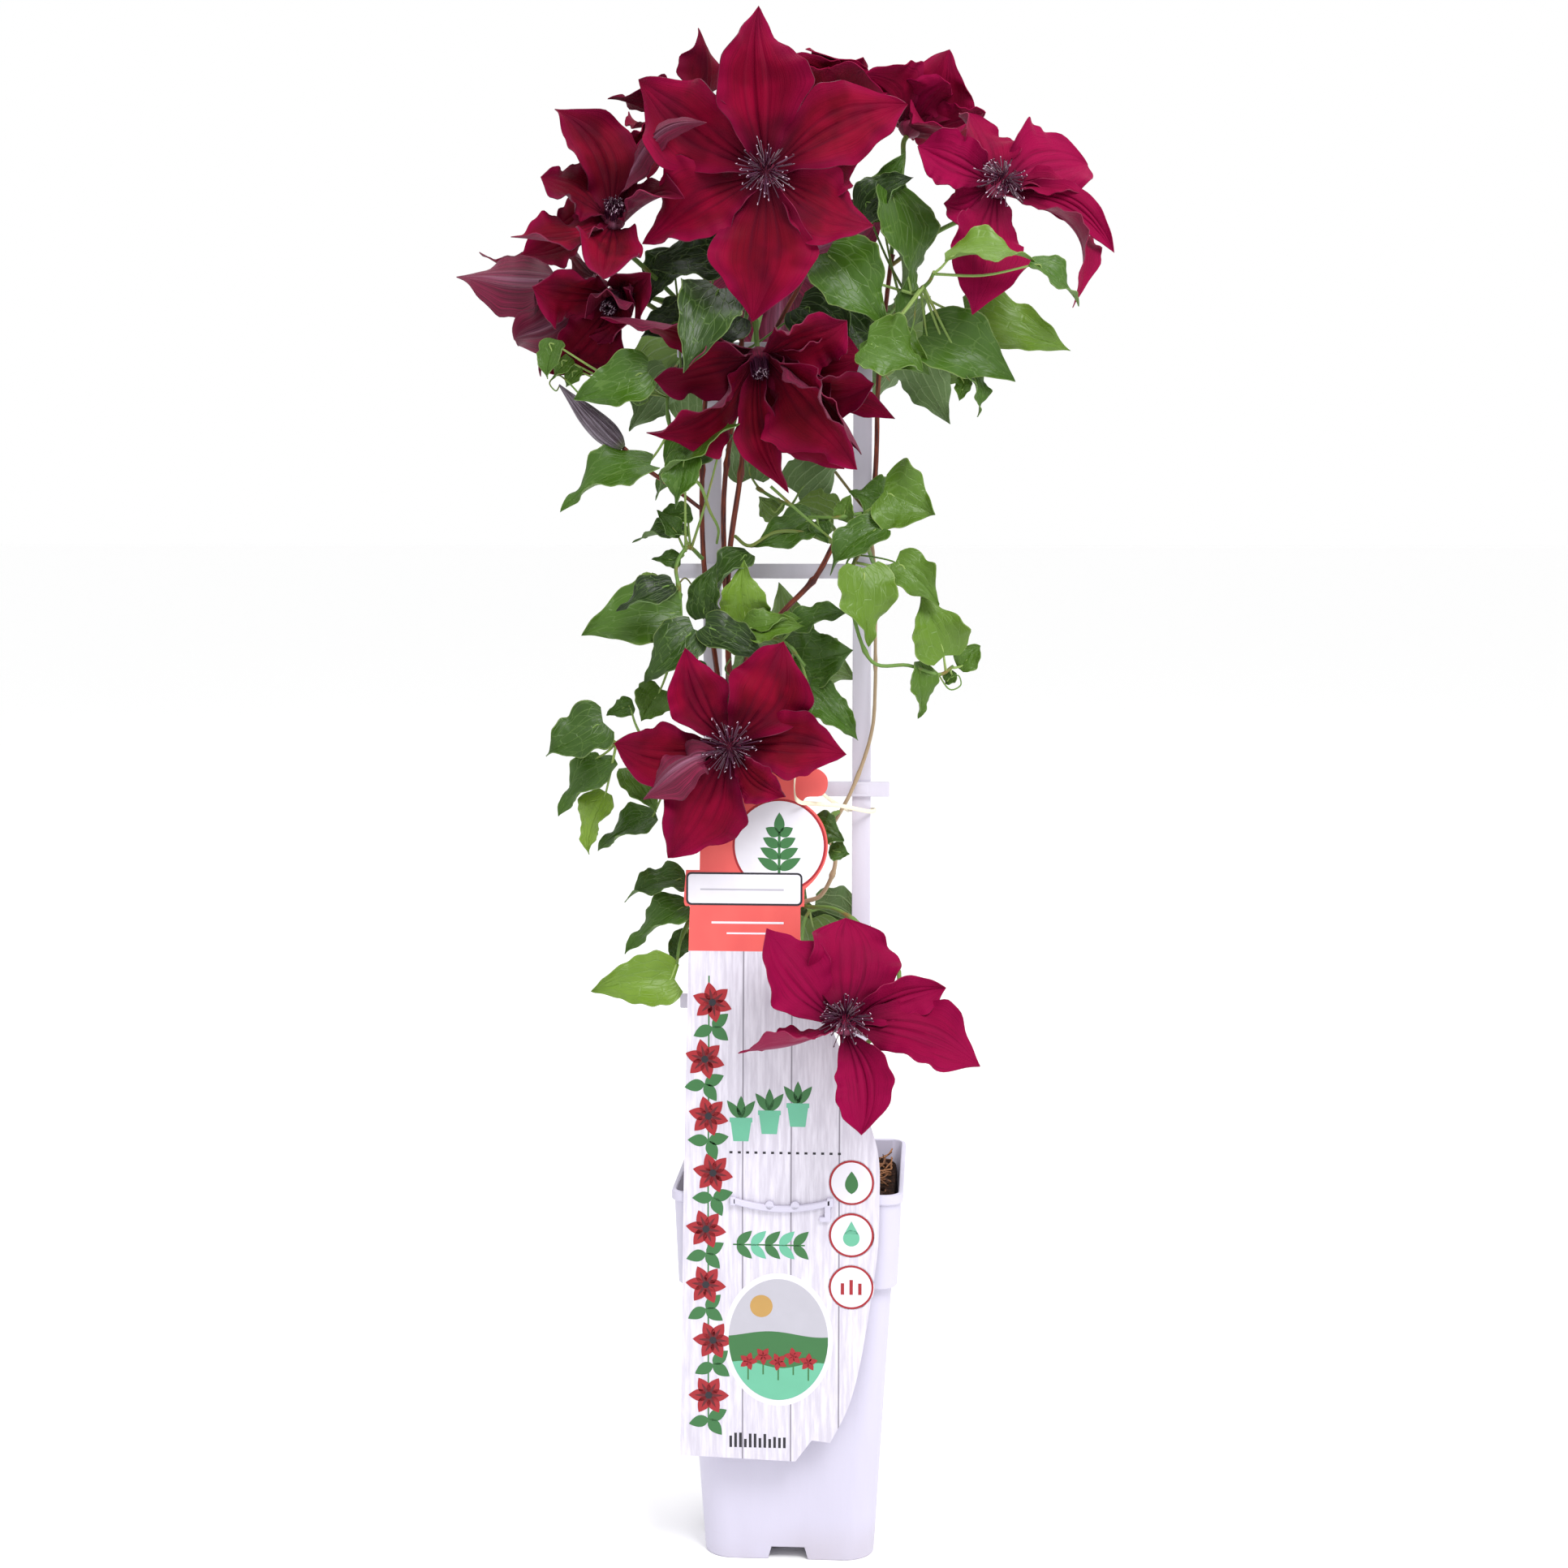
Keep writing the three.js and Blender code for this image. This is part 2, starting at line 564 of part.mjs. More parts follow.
// A spiky crown round the axis: a spike from each pair of valleys out to its own tip.
function star(middle, axis, shape, seed) {
  const side = new THREE.Vector3(0.3, 0.2, 0.9).cross(axis).normalize();
  const other = axis.clone().cross(side);
  const at = (radius, height, angle) => middle.clone()
    .addScaledVector(axis, height)
    .addScaledVector(side, radius * Math.cos(angle))
    .addScaledVector(other, radius * Math.sin(angle))
    .toArray();
  const points = [at(0, shape.bottom, 0), at(0, shape.top, 0)];
  const triangles = [];
  const last = 2 * shape.count;
  for (let k = 0; k < shape.count; k += 1) {
    const angle = (2 * Math.PI * k) / shape.count;
    const reach = 0.82 + 0.3 * jitter(seed, k + 10);
    const sway = 0.25 * (jitter(seed, k + 50) - 0.5);
    points.push(at(shape.valley, shape.valleyHeight, angle));
    const between = angle + Math.PI / shape.count + sway;
    points.push(at(shape.tip * reach, shape.tipHeight + 2 * sway, between));
  }
  for (let k = 0; k < last; k += 1) {
    const next = (k + 1) % last;
    triangles.push([2 + k, 2 + next, 1], [2 + next, 2 + k, 0]);
  }
  return solidOf(points, triangles);
}

function stamensOf(flower) {
  const middle = vec(flower.at);
  const axis = vec(flower.axis).normalize();
  const low = buttonTop + seat;
  const open = flower.open ?? 1;
  return fuse([
    star(middle, axis, {
      count: flower.spikes, bottom: low, top: stamenTop, valley: 3.6, valleyHeight: low + 1.6,
      tip: 14 * open, tipHeight: low + 4.6 + 8 * (1 - open),
    }, flower.seed),
    star(middle, axis, {
      count: Math.round(flower.spikes * 0.6), bottom: low + 1, top: stamenTop + 1, valley: 2.6,
      valleyHeight: low + 4, tip: 7.6 * open, tipHeight: low + 9.5,
    }, flower.seed + 30),
  ]);
}

const flowerBack = (flower) =>
  vec(flower.at).addScaledVector(vec(flower.axis).normalize(), -cupDepth - seat);

// ---- the flower bud on the left ----
const bud = { at: [-88.5, -40, 598], tip: [-121, -45, 630] };

function budSolid() {
  const start = vec(bud.at);
  const axis = vec(bud.tip).sub(start);
  const length = axis.length();
  axis.normalize();
  const profile = [[0, 1.6], [4, 4.4], [12, 6.4], [25, 5.2], [36, 2.6], [length, 0.5]];
  return spindle(start, axis, profile, 8, 0.86);
}

// ---- stems and stalks fused into one woody plant ----
function stemsSolid() {
  const pieces = [];
  const crown = new THREE.Vector3(crownX, crownY, 0);
  pieces.push(spindle(crown, up, [[crownBottom, crownRadius], [198, 7.6], [205, 4.6]], 8));
  for (const name of Object.keys(stems)) {
    const radius = name === "thin" ? 1 : stemRadius;
    pieces.push(tube(stemLines[name], radius + 0.3, radius - 0.2, 4));
  }
  for (const flower of Object.values(flowers)) {
    const [stem, height, ...through] = flower.stalk;
    const end = flowerBack(flower);
    const axis = vec(flower.axis).normalize();
    const line = lineOf([
      onStem(stem, height).toArray(),
      ...through,
      end.clone().addScaledVector(axis, -5).toArray(),
    ]);
    line.push(end);
    pieces.push(tube(line, 1.15, 1.3, 3));
  }
  const budEnd = vec(bud.at).addScaledVector(vec(bud.tip).sub(vec(bud.at)).normalize(), -seat);
  const budLine = lineOf([onStem("left", 566).toArray(), [-64, -22, 578], [-78, -34, 588]]);
  budLine.push(budEnd);
  pieces.push(tube(budLine, 1.05, 1.2, 3));
  return fuse(pieces);
}

add(plant, "stems", stemsSolid(), "stem");
add(plant, "bud", budSolid(), "bud");

// ---- soil, with a plain hole for the crown and for each rail ----
function soilSolid() {
  const gap = seat;
  const side = (half) => half - potWall - gap;
  const lower = [
    squareRing(side(footHalf + 0.6), 14, floorTop + gap),
    squareRing(side(shoulderHalf), 11, shoulderHeight - 1.2),
    squareRing(side(collarHalf) - 0.4, potCorner, shoulderHeight + 2.4),
  ];
  const top = [1, 0.8, 0.56, 0.3].map((share, i) =>
    squareRing((side(collarHalf) + 0.8) * share, potCorner * share, 0).map(([x, y], k) => [
      x, y, soilHeight - (i === 0 ? 6 : 0) + 5 * (jitter(k + 3, i) - 0.5),
    ]),
  );
  const body = loft([...lower, ...top]);
  const crown = new THREE.Vector3(crownX, crownY, 0);
  const well = spindle(crown, up, [[crownBottom - seat, crownRadius + 0.35], [220, crownRadius + 0.35]], 8);
  const turn = new THREE.Matrix4().makeRotationZ(plant.rotation.z);
  const holes = [
    placed(well, turn),
    ...railX.map((x) => box(
      x - railWidth / 2 - gap, x + railWidth / 2 + gap,
      railFront - gap, railBack + 3.2 + gap,
      railFoot - gap, 230,
    )),
  ];
  return body.subtract(fuse(holes));
}

add(holder, "soil", soilSolid(), "soil");

// ---- label: a stiff card hung behind the strap, leaning back to the trellis ----
const labelBend = 205;
const labelY = -62.4; // the middle of the card where it bends at the rim
const lowerSlope = 0.021;
const upperSlope = 0.08;
const labelOutline = [
  [-56.3, 64.9], [5.2, 62.8], [13.8, 74.5], [23.7, 73.4], [33.1, 92.7], [39.5, 117], [45.8, 156.6],
  [48.6, 180], [49.2, 203], [48.8, 226], [43.2, 247.2], [25.9, 289.6], [6.8, 335.4], [6.8, 358.6],
  [8.8, 358.8], [8.8, 367.5], [14.6, 373.5], [19.3, 381.5], [21, 390.6], [19.3, 400], [14.6, 407.6],
  [7.5, 413.4], [10, 416.2], [17.2, 416.8], [20.4, 420.4], [20.4, 426.4], [16, 430.6], [10.4, 430.4],
  [6.6, 427.6], [3.4, 431.6], [-6.9, 434.2], [-19, 430.6], [-29.5, 423.6], [-38, 414.4],
  [-43.4, 403.4], [-46, 390], [-46.4, 377.4], [-53.6, 377.4], [-54.6, 360.4], [-51.4, 358.4],
  [-52, 340], [-53.6, 250],
];
const badgeCentres = [328, 302.8, 278.4, 254.5].map((z) => [-44.4, z]);
const badgeRadius = 12.8;

// An upright sheet cut to an outline of x and z, its middle on y = 0.
function sheet(outline) {
  const shape = new THREE.Shape(outline.map(([x, z]) => new THREE.Vector2(x, z)));
  const geometry = new THREE.ExtrudeGeometry(shape, { depth: labelThickness, bevelEnabled: false });
  return solidFrom(geometry.rotateX(Math.PI / 2).translate(0, labelThickness / 2, 0));
}

function labelSolid() {
  const corners = 10;
  const badges = badgeCentres.map(([x, z]) => {
    const round = [];
    for (let k = 0; k < corners; k += 1) {
      const angle = (2 * Math.PI * k) / corners;
      round.push([x + badgeRadius * Math.cos(angle), z + badgeRadius * Math.sin(angle)]);
    }
    return sheet(round);
  });
  const slots = [box(-30.4, -14, -5, 5, 200.4, 207.2), box(13, 26, -5, 5, 200.2, 207.2)];
  const whole = fuse([sheet(labelOutline), ...badges]).subtract(fuse(slots));
  const slanted = (part, slope) => {
    const shear = new THREE.Matrix4().makeShear(0, 0, 0, 0, 0, slope);
    return placed(part, shear.setPosition(0, labelY - slope * labelBend, 0));
  };
  const lower = slanted(whole.intersect(box(-90, 90, -9, 9, 0, labelBend)), lowerSlope);
  const upper = slanted(whole.intersect(box(-90, 90, -9, 9, labelBend, 500)), upperSlope);
  return lower.add(upper);
}

add(holder, "label", labelSolid(), "label");

// ---- elastic tie: a loop round the hook of the label and the right rail ----
function tieSolid() {
  const loop = [
    [7.6, -50.6, 413.6], [3.6, -50, 420], [5.4, -45.2, 433.4], [11, -39.6, 424], [20, -16, 412],
    [28.6, 8, 403.4], [31, 14.4, 402.6], [42.6, 14.4, 402.6], [44, 8, 402.8], [40, 0.5, 403.4],
    [24, -24, 409.5],
  ];
  const curve = new THREE.CatmullRomCurve3(loop.map(vec), true, "centripetal");
  const count = 15;
  const points = curve.getPoints(count);
  const section = [[-0.35, 1.1], [0.35, 1.1], [0.35, -1.1], [-0.35, -1.1]];
  const corners = [];
  for (let i = 0; i < count; i += 1) {
    const ahead = points[(i + 1) % count].clone().sub(points[(i + count - 1) % count]).normalize();
    const out = ahead.clone().cross(up).normalize();
    const lift = out.clone().cross(ahead).normalize();
    for (const [a, b] of section) {
      corners.push(points[i].clone().addScaledVector(out, a).addScaledVector(lift, b).toArray());
    }
  }
  const triangles = [];
  for (let i = 0; i < count; i += 1) {
    for (let k = 0; k < 4; k += 1) {
      const a = 4 * i + k;
      const b = 4 * i + ((k + 1) % 4);
      const c = 4 * ((i + 1) % count) + ((k + 1) % 4);
      const d = 4 * ((i + 1) % count) + k;
      triangles.push([a, b, c], [a, c, d]);
    }
  }
  return solidOf(corners, triangles);
}

add(holder, "tie", tieSolid(), "tie");

for (const [name, flower] of Object.entries(flowers)) {
  add(plant, `flower_${name}`, petalsOf(flower), "petal");
  add(plant, `stamens_${name}`, stamensOf(flower), "stamen");
}

// ---- leafy shoots ----
// Each shoot leaves a stem at a height and runs through its points.
// Leaves: base, tip, width as seen. A leaf shows its upper side forward and up unless it says else.
const shoots = {
  top_right: {
    from: ["right", 668], seed: 100,
    path: [[58, -22, 676], [64, -42, 678], [68, -66, 680], [70, -80, 684]],
    leaves: [
      [17, -45, 697, 48, -47, 658, 38], [51, -30, 728, 53, -34, 664, 30], [46, -14, 716, 58, -16, 751, 26],
      [36, -26, 720, 62, -30, 737, 22], [66, -50, 655, 114, -54, 631, 37], [40, -55, 654, 70, -58, 634, 28],
      [75, -86, 690, 121, -88, 689, 15], [117, -89, 688, 143, -84, 667, 14],
      [89, -35, 667, 144, -38, 648, 32],
    ],
  },
  top_left: {
    from: ["left", 640], seed: 120,
    path: [[-54, -16, 640], [-62, -24, 636], [-66, -30, 622], [-64, -30, 604]],
    leaves: [
      [-37, -35, 698, -75, -30, 690, 30], [-38, -54, 678, -55, -82, 634, 34],
      [-75, -56, 636, -113, -54, 622, 28], [-57, -35, 661, -79, -35, 663, 21],
      [-121, -60, 652, -126, -60, 632, 15], [-74, -52, 589, -121, -54, 565, 19],
      [-38, -20, 608, -74, -4, 574, 26],
    ],
  },
  upper_left: {
    from: ["left", 540], seed: 140,
    path: [[-56, -14, 546], [-62, -22, 536], [-60, -28, 522], [-60, -24, 500], [-66, -22, 484]],
    leaves: [
      [-56, -44, 594, -62, -46, 566, 20], [-54, -12, 564, -74, -12, 559, 12],
      [-56, -13, 554, -86, -14, 549, 11], [-60, -12, 539, -76, -12, 540, 10],
      [-62, -25, 525, -97, -27, 508, 15], [-60, -36, 523, -112, -40, 502, 36],
      [-52, -38, 504, -79, -42, 476, 26], [-58, -16, 495, -58, -18, 476, 12],
      [-70, -22, 471, -81, -24, 454, 22],
    ],
  },
  mid_left: {
    from: ["left", 430], seed: 160,
    path: [[-54, -18, 440], [-70, -26, 446], [-84, -30, 448], [-96, -32, 442]],
    leaves: [
      [-100, -40, 455, -131, -42, 438, 31], [-85, -22, 463, -100, -20, 457, 11],
      [-103, -26, 436, -115, -24, 428, 9], [-94, -32, 434, -126, -30, 404, 15],
      [-99, -32, 417, -110, -30, 383, 15], [-73, -25, 404, -106, -22, 385, 15],
      [-87, -38, 431, -72, -40, 407, 19], [-68, -18, 442, -60, -16, 417, 22],
    ],
  },
  low_left: {
    from: ["left", 345], seed: 180,
    path: [[-46, -12, 350], [-54, -22, 350], [-60, -32, 338], [-62, -38, 326]],
    leaves: [
      [-57, -28, 370, -91, -30, 359, 17], [-56, -33, 357, -90, -36, 331, 17],
      [-56, -22, 342, -66, -20, 323, 13], [-63, -40, 318, -108, -44, 312, 29],
    ],
  },
  mid_right: {
    from: ["second", 500], seed: 200,
    path: [[-30, -24, 502], [-18, -30, 500], [-4, -32, 496], [6, -34, 484]],
    leaves: [
      [-3, -22, 487, 32, -24, 492, 37], [-1, -32, 505, 30, -34, 513, 15],
      [-27, -42, 504, 6, -44, 506, 16], [-25, -32, 508, -26, -34, 540, 26],
      [-47, -28, 509, -40, -30, 539, 19], [-46, -45, 506, -13, -48, 489, 21],
      [8, -32, 471, 35, -34, 445, 22],
    ],
  },
  upper_right: {
    from: ["right", 558], seed: 220,
    path: [[34, -16, 562], [36, -26, 564], [24, -28, 562], [8, -22, 562]],
    leaves: [
      [47, -32, 575, 74, -36, 563, 37], [50, -16, 567, 29, -18, 576, 27], [45, -38, 557, 18, -40, 532, 21],
      [9, -22, 561, -23, -24, 546, 20],
    ],
  },
  inner_right: {
    from: ["right", 552], seed: 230,
    path: [[18, 14, 560], [4, 18, 566], [-10, 20, 572], [-20, 22, 578]],
    leaves: [
      [2, 20, 575, 28, 22, 596, 31], [22, 16, 561, -1, 18, 569, 24], [-8, 20, 563, -19, 20, 573, 15],
      [-23, 22, 583, -25, 24, 620, 27],
    ],
  },
  trailing_right: {
    from: ["thin", 538], seed: 240,
    path: [
      [38, -24, 546], [30, -42, 534], [31, -45, 512], [41, -44, 487], [60, -42, 485], [76, -38, 480],
      [84, -34, 484],
    ],
    leaves: [
      [36, -55, 536, 39, -57, 495, 32], [53, -45, 539, 76, -48, 516, 23], [79, -42, 490, 66, -40, 522, 30],
      [65, -40, 487, 66, -38, 456, 12], [88, -32, 482, 99, -30, 495, 15], [85, -32, 481, 80, -30, 474, 8],
    ],
  },
  low_right: {
    from: ["thin", 404], seed: 260,
    path: [[20, -18, 402], [20, -24, 396]],
    leaves: [[10, -30, 398, 27, -33, 391, 20], [19, -28, 386, 30, -30, 384, 12]],
  },
  rear_left: {
    from: ["left", 626], seed: 280,
    path: [[-62, 4, 634], [-64, 22, 642], [-58, 40, 650]],
    leaves: [
      [-62, 38, 652, -98, 50, 634, 34], [-54, 46, 654, -32, 62, 620, 32], [-68, 26, 640, -90, 20, 608, 28],
      [-56, 40, 642, -54, 54, 600, 30],
    ],
  },
  rear_right: {
    from: ["right", 636], seed: 300,
    path: [[58, 4, 644], [62, 22, 650], [56, 40, 656]],
    leaves: [
      [62, 36, 656, 98, 46, 636, 34], [54, 44, 654, 34, 60, 616, 32], [66, 26, 648, 86, 30, 612, 28],
      [58, 42, 662, 76, 62, 684, 30],
    ],
  },
  rear_middle: {
    from: ["right", 480], seed: 320,
    path: [[-18, 12, 482], [-6, 26, 484], [2, 30, 482]],
    leaves: [
      [-8, 28, 486, -40, 42, 466, 34], [4, 32, 482, 36, 40, 472, 34], [0, 32, 478, 4, 46, 440, 32],
      [-4, 30, 490, -8, 40, 526, 30],
    ],
  },
  rear_low: {
    from: ["thin", 330], seed: 340,
    path: [[6, 14, 340], [10, 24, 346]],
    leaves: [
      [12, 26, 346, 44, 34, 334, 32], [8, 28, 350, -20, 38, 340, 32], [10, 26, 340, 14, 40, 306, 30],
    ],
  },
};

// The point of a shoot nearest to a leaf, kept off the bends.
function nearest(line, point) {
  let best = null;
  for (let i = 0; i + 1 < line.length; i += 1) {
    const span = new THREE.Line3(line[i], line[i + 1]);
    const share = THREE.MathUtils.clamp(span.closestPointToPointParameter(point, true), 0.2, 0.8);
    const spot = span.at(share, new THREE.Vector3());
    if (!best || spot.distanceTo(point) < best.distanceTo(point)) best = spot;
  }
  return best;
}

function shootSolid(shoot) {
  const [stem, height] = shoot.from;
  const stemSize = stem === "thin" ? 1.35 : stemRadius + 0.25;
  const start = onStem(stem, height);
  const side = vec(shoot.path[0]).sub(start).setZ(0).normalize();
  start.addScaledVector(side, stemSize + seat);
  const line = lineOf([start.toArray(), ...shoot.path]);
  const pieces = [tube(line, shootRadius, shootRadius * 0.85, 3)];
  const behind = shoot.path[0][1] > 2;
  shoot.leaves.forEach((row, i) => {
    const base = vec(row);
    const tip = vec(row.slice(3));
    const seen = row[6];
    const seed = shoot.seed + i;
    const length = base.distanceTo(tip);
    const width = Math.max(seen, 0.6 * length);
    const lean = Math.max(12, THREE.MathUtils.radToDeg(Math.acos(seen / width)));
    const chord = tip.clone().sub(base).normalize();
    const front = new THREE.Vector3(0, behind ? 1 : -1, 0.1);
    front.addScaledVector(chord, -front.dot(chord)).normalize();
    const small = seen < 18;
    const leaf = {
      base, tip, width, roll: chord.clone().cross(front).z > 0 ? lean : -lean,
      face: front,
      bend: 24 + 26 * jitter(seed, 6), twist: 60 * (jitter(seed, 7) - 0.5),
      rows: small ? smallRows : leafRows, shares: small ? smallShares : leafShares,
      columns: 2, thick: leafThickness, cup: 0, fold: 0.26, ripple: 0.07,
      waves: 1.3 + 0.6 * jitter(seed, 8), phase: 6.28 * jitter(seed, 9), lobe: small ? 0 : 0.07,
      sway: 0.16 * (jitter(seed, 12) - 0.5), turn: 0,
    };
    const joint = nearest(line, base);
    pieces.push(blade(leaf));
    pieces.push(tube([joint, frameAt(leaf, 2.5 / length).spot], petioleRadius, petioleTip, 3));
  });
  return fuse(pieces);
}

for (const [name, shoot] of Object.entries(shoots)) {
  add(plant, `leaves_${name}`, shootSolid(shoot), "leaf");
}

export default root;
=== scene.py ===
import math

import bmesh
import bpy
from mathutils import Matrix, Vector


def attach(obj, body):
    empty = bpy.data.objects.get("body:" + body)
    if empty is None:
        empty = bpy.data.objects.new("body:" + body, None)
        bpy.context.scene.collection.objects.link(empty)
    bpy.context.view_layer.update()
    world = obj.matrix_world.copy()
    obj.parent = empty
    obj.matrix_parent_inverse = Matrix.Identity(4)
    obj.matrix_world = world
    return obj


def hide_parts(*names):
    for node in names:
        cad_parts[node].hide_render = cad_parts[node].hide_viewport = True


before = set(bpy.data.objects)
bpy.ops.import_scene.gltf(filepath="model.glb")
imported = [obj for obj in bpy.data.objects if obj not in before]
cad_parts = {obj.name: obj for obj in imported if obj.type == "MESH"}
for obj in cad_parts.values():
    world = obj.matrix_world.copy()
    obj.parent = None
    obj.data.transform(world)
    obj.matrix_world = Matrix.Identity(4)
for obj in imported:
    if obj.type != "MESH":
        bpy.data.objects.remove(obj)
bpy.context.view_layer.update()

# A large-flowered clematis on a white ladder trellis in a square nursery pot.
# Shapes are worked out in millimetres and become metres as each piece is finished.
mm = 0.001
upward = Vector((0, 0, 1))
plantTurn = math.radians(3.6)  # the plant is turned on its root, seen against the pot


def jitter(seed, use):
    # a fixed draw from 0 to 1, for one use of a seed
    wave = math.sin(seed * 12.9898 + use * 78.233) * 43758.5453
    return wave - math.floor(wave)


def between(low, high, share):
    return low + (high - low) * share


def throughStops(stops, at):
    # a smooth value through (position, value) stops
    step = 0
    while step < len(stops) - 2 and at > stops[step + 1][0]:
        step += 1
    (x0, y0), (x1, y1) = stops[step], stops[step + 1]
    before, after = stops[max(step - 1, 0)], stops[min(step + 2, len(stops) - 1)]
    span = x1 - x0
    leave = (y1 - before[1]) / (x1 - before[0]) * span
    arrive = (after[1] - y0) / (after[0] - x0) * span
    t = min(max((at - x0) / span, 0), 1)
    straight = (2 * t ** 3 - 3 * t * t + 1) * y0 + (3 * t * t - 2 * t ** 3) * y1
    return straight + (t ** 3 - 2 * t * t + t) * leave + (t ** 3 - t * t) * arrive


def smoothLine(points, perSpan):
    # a rounded line through points
    spots = [Vector(p) for p in points]
    spots = [2 * spots[0] - spots[1], *spots, 2 * spots[-1] - spots[-2]]
    line = []
    for i in range(1, len(spots) - 2):
        a, b, c, d = spots[i - 1:i + 3]
        for k in range(perSpan):
            t = k / perSpan
            line.append(0.5 * (2 * b + (c - a) * t + (2 * a - 5 * b + 4 * c - d) * t * t
                               + (3 * b - a - 3 * c + d) * t ** 3))
    line.append(spots[-2])
    return line


def colour(red, green, blue):
    # a screen colour as the light values that a shader takes
    def light(value):
        share = value / 255
        return share / 12.92 if share <= 0.04045 else ((share + 0.055) / 1.055) ** 2.4
    return (light(red), light(green), light(blue), 1)


class Wire:
    # one value of a material, with the sums that are used on it
    def __init__(self, finish, socket):
        self.finish = finish
        self.socket = socket

    def sums(self, operation, *values):
        return self.finish.node("Math", {"operation": operation}, dict(enumerate(values)))

    def __add__(self, other):
        return self.sums("ADD", self, other)

    def __radd__(self, other):
        return self.sums("ADD", other, self)

    def __sub__(self, other):
        return self.sums("SUBTRACT", self, other)

    def __rsub__(self, other):
        return self.sums("SUBTRACT", other, self)

    def __mul__(self, other):
        return self.sums("MULTIPLY", self, other)

    def __rmul__(self, other):
        return self.sums("MULTIPLY", other, self)

    def __abs__(self):
        return self.sums("ABSOLUTE", self)

    def least(self, other):
        return self.sums("MINIMUM", self, other)

    def fraction(self):
        return self.sums("FRACT", self)


class Finish:
    # a material in the making
    def __init__(self, name, roughness=0.5, **constants):
        self.material = bpy.data.materials.new(name)
        self.material.use_nodes = True
        self.tree = self.material.node_tree
        self.shader = self.tree.nodes["Principled BSDF"]
        self.set("Roughness", roughness)
        for socket, value in constants.items():
            self.set(socket.replace("_", " "), value)

    def set(self, name, value):
        self.fill(self.shader.inputs[name], value)

    def fill(self, socket, value):
        if isinstance(value, Wire):
            self.tree.links.new(value.socket, socket)
        else:
            socket.default_value = value

    def node(self, kind, settings=None, inputs=None, output=0):
        made = self.tree.nodes.new("ShaderNode" + kind)
        for name, value in (settings or {}).items():
            setattr(made, name, value)
        for name, value in (inputs or {}).items():
            self.fill(made.inputs[name], value)
        return Wire(self, made.outputs[output])

    def place(self):
        return self.node("TexCoord", output=3)

    def apart(self, vector):
        made = self.node("SeparateXYZ", {}, {0: vector}).socket.node
        return [Wire(self, socket) for socket in made.outputs]

    def blade(self):
        # where a point lies on its petal, leaf or stem: across, along
        return self.apart(self.node("UVMap", {"uv_map": "blade"}))[:2]

    def axes(self):
        # the place on the object in millimetres
        return [axis * (1 / mm) for axis in self.apart(self.place())]

    def tone(self):
        return self.node("Attribute", {"attribute_name": "tone"}, output=2)

    def joined(self, x, y, z=0.0):
        return self.node("CombineXYZ", {}, {0: x, 1: y, 2: z})

    def noise(self, vector, scale, detail=3.0, rough=0.5):
        inputs = {"Vector": vector, "Scale": scale, "Detail": detail, "Roughness": rough}
        return self.node("TexNoise", {}, inputs)

    def step(self, value, low, high):
        inputs = {"Value": value, "From Min": low, "From Max": high}
        return self.node("MapRange", {"interpolation_type": "SMOOTHSTEP"}, inputs)

    def mix(self, share, low, high):
        return self.node("Mix", {"data_type": "RGBA"}, {0: share, 6: low, 7: high}, 2)

    def bump(self, height, depth, strength=1.0):
        inputs = {"Height": height, "Distance": depth, "Strength": strength}
        self.set("Normal", self.node("Bump", {}, inputs))


# Petals have three ribs and threads between them, with painted shade at the base and in the hollows of their
# folds. Blooms and petals of low tone get painted shade too.
petalLook = {
    # the dark red of the painted shade on the petals
    "deep": colour(36, 0, 14),
    "body": colour(88, 0, 17),
    "light": colour(112, 1, 30),
    "pink": colour(134, 3, 60),
    "vein": colour(52, 1, 22),
    "backDeep": colour(70, 4, 32),
    "backLight": colour(118, 12, 54),
    "stripe": colour(142, 100, 124),
    "sheen": colour(255, 120, 150),
    "backSheen": colour(240, 190, 215),
    "roughness": 0.58,
    "ribAt": 3 / 11,  # how far out the two side ribs run, as a share of the half width
}


def ribLines(finish, across, spread):
    # 1 on the three ribs that run from the base of a petal to its tip
    side = abs(across)
    return finish.step(side.least(abs(side - petalLook["ribAt"])), spread, 0.0)


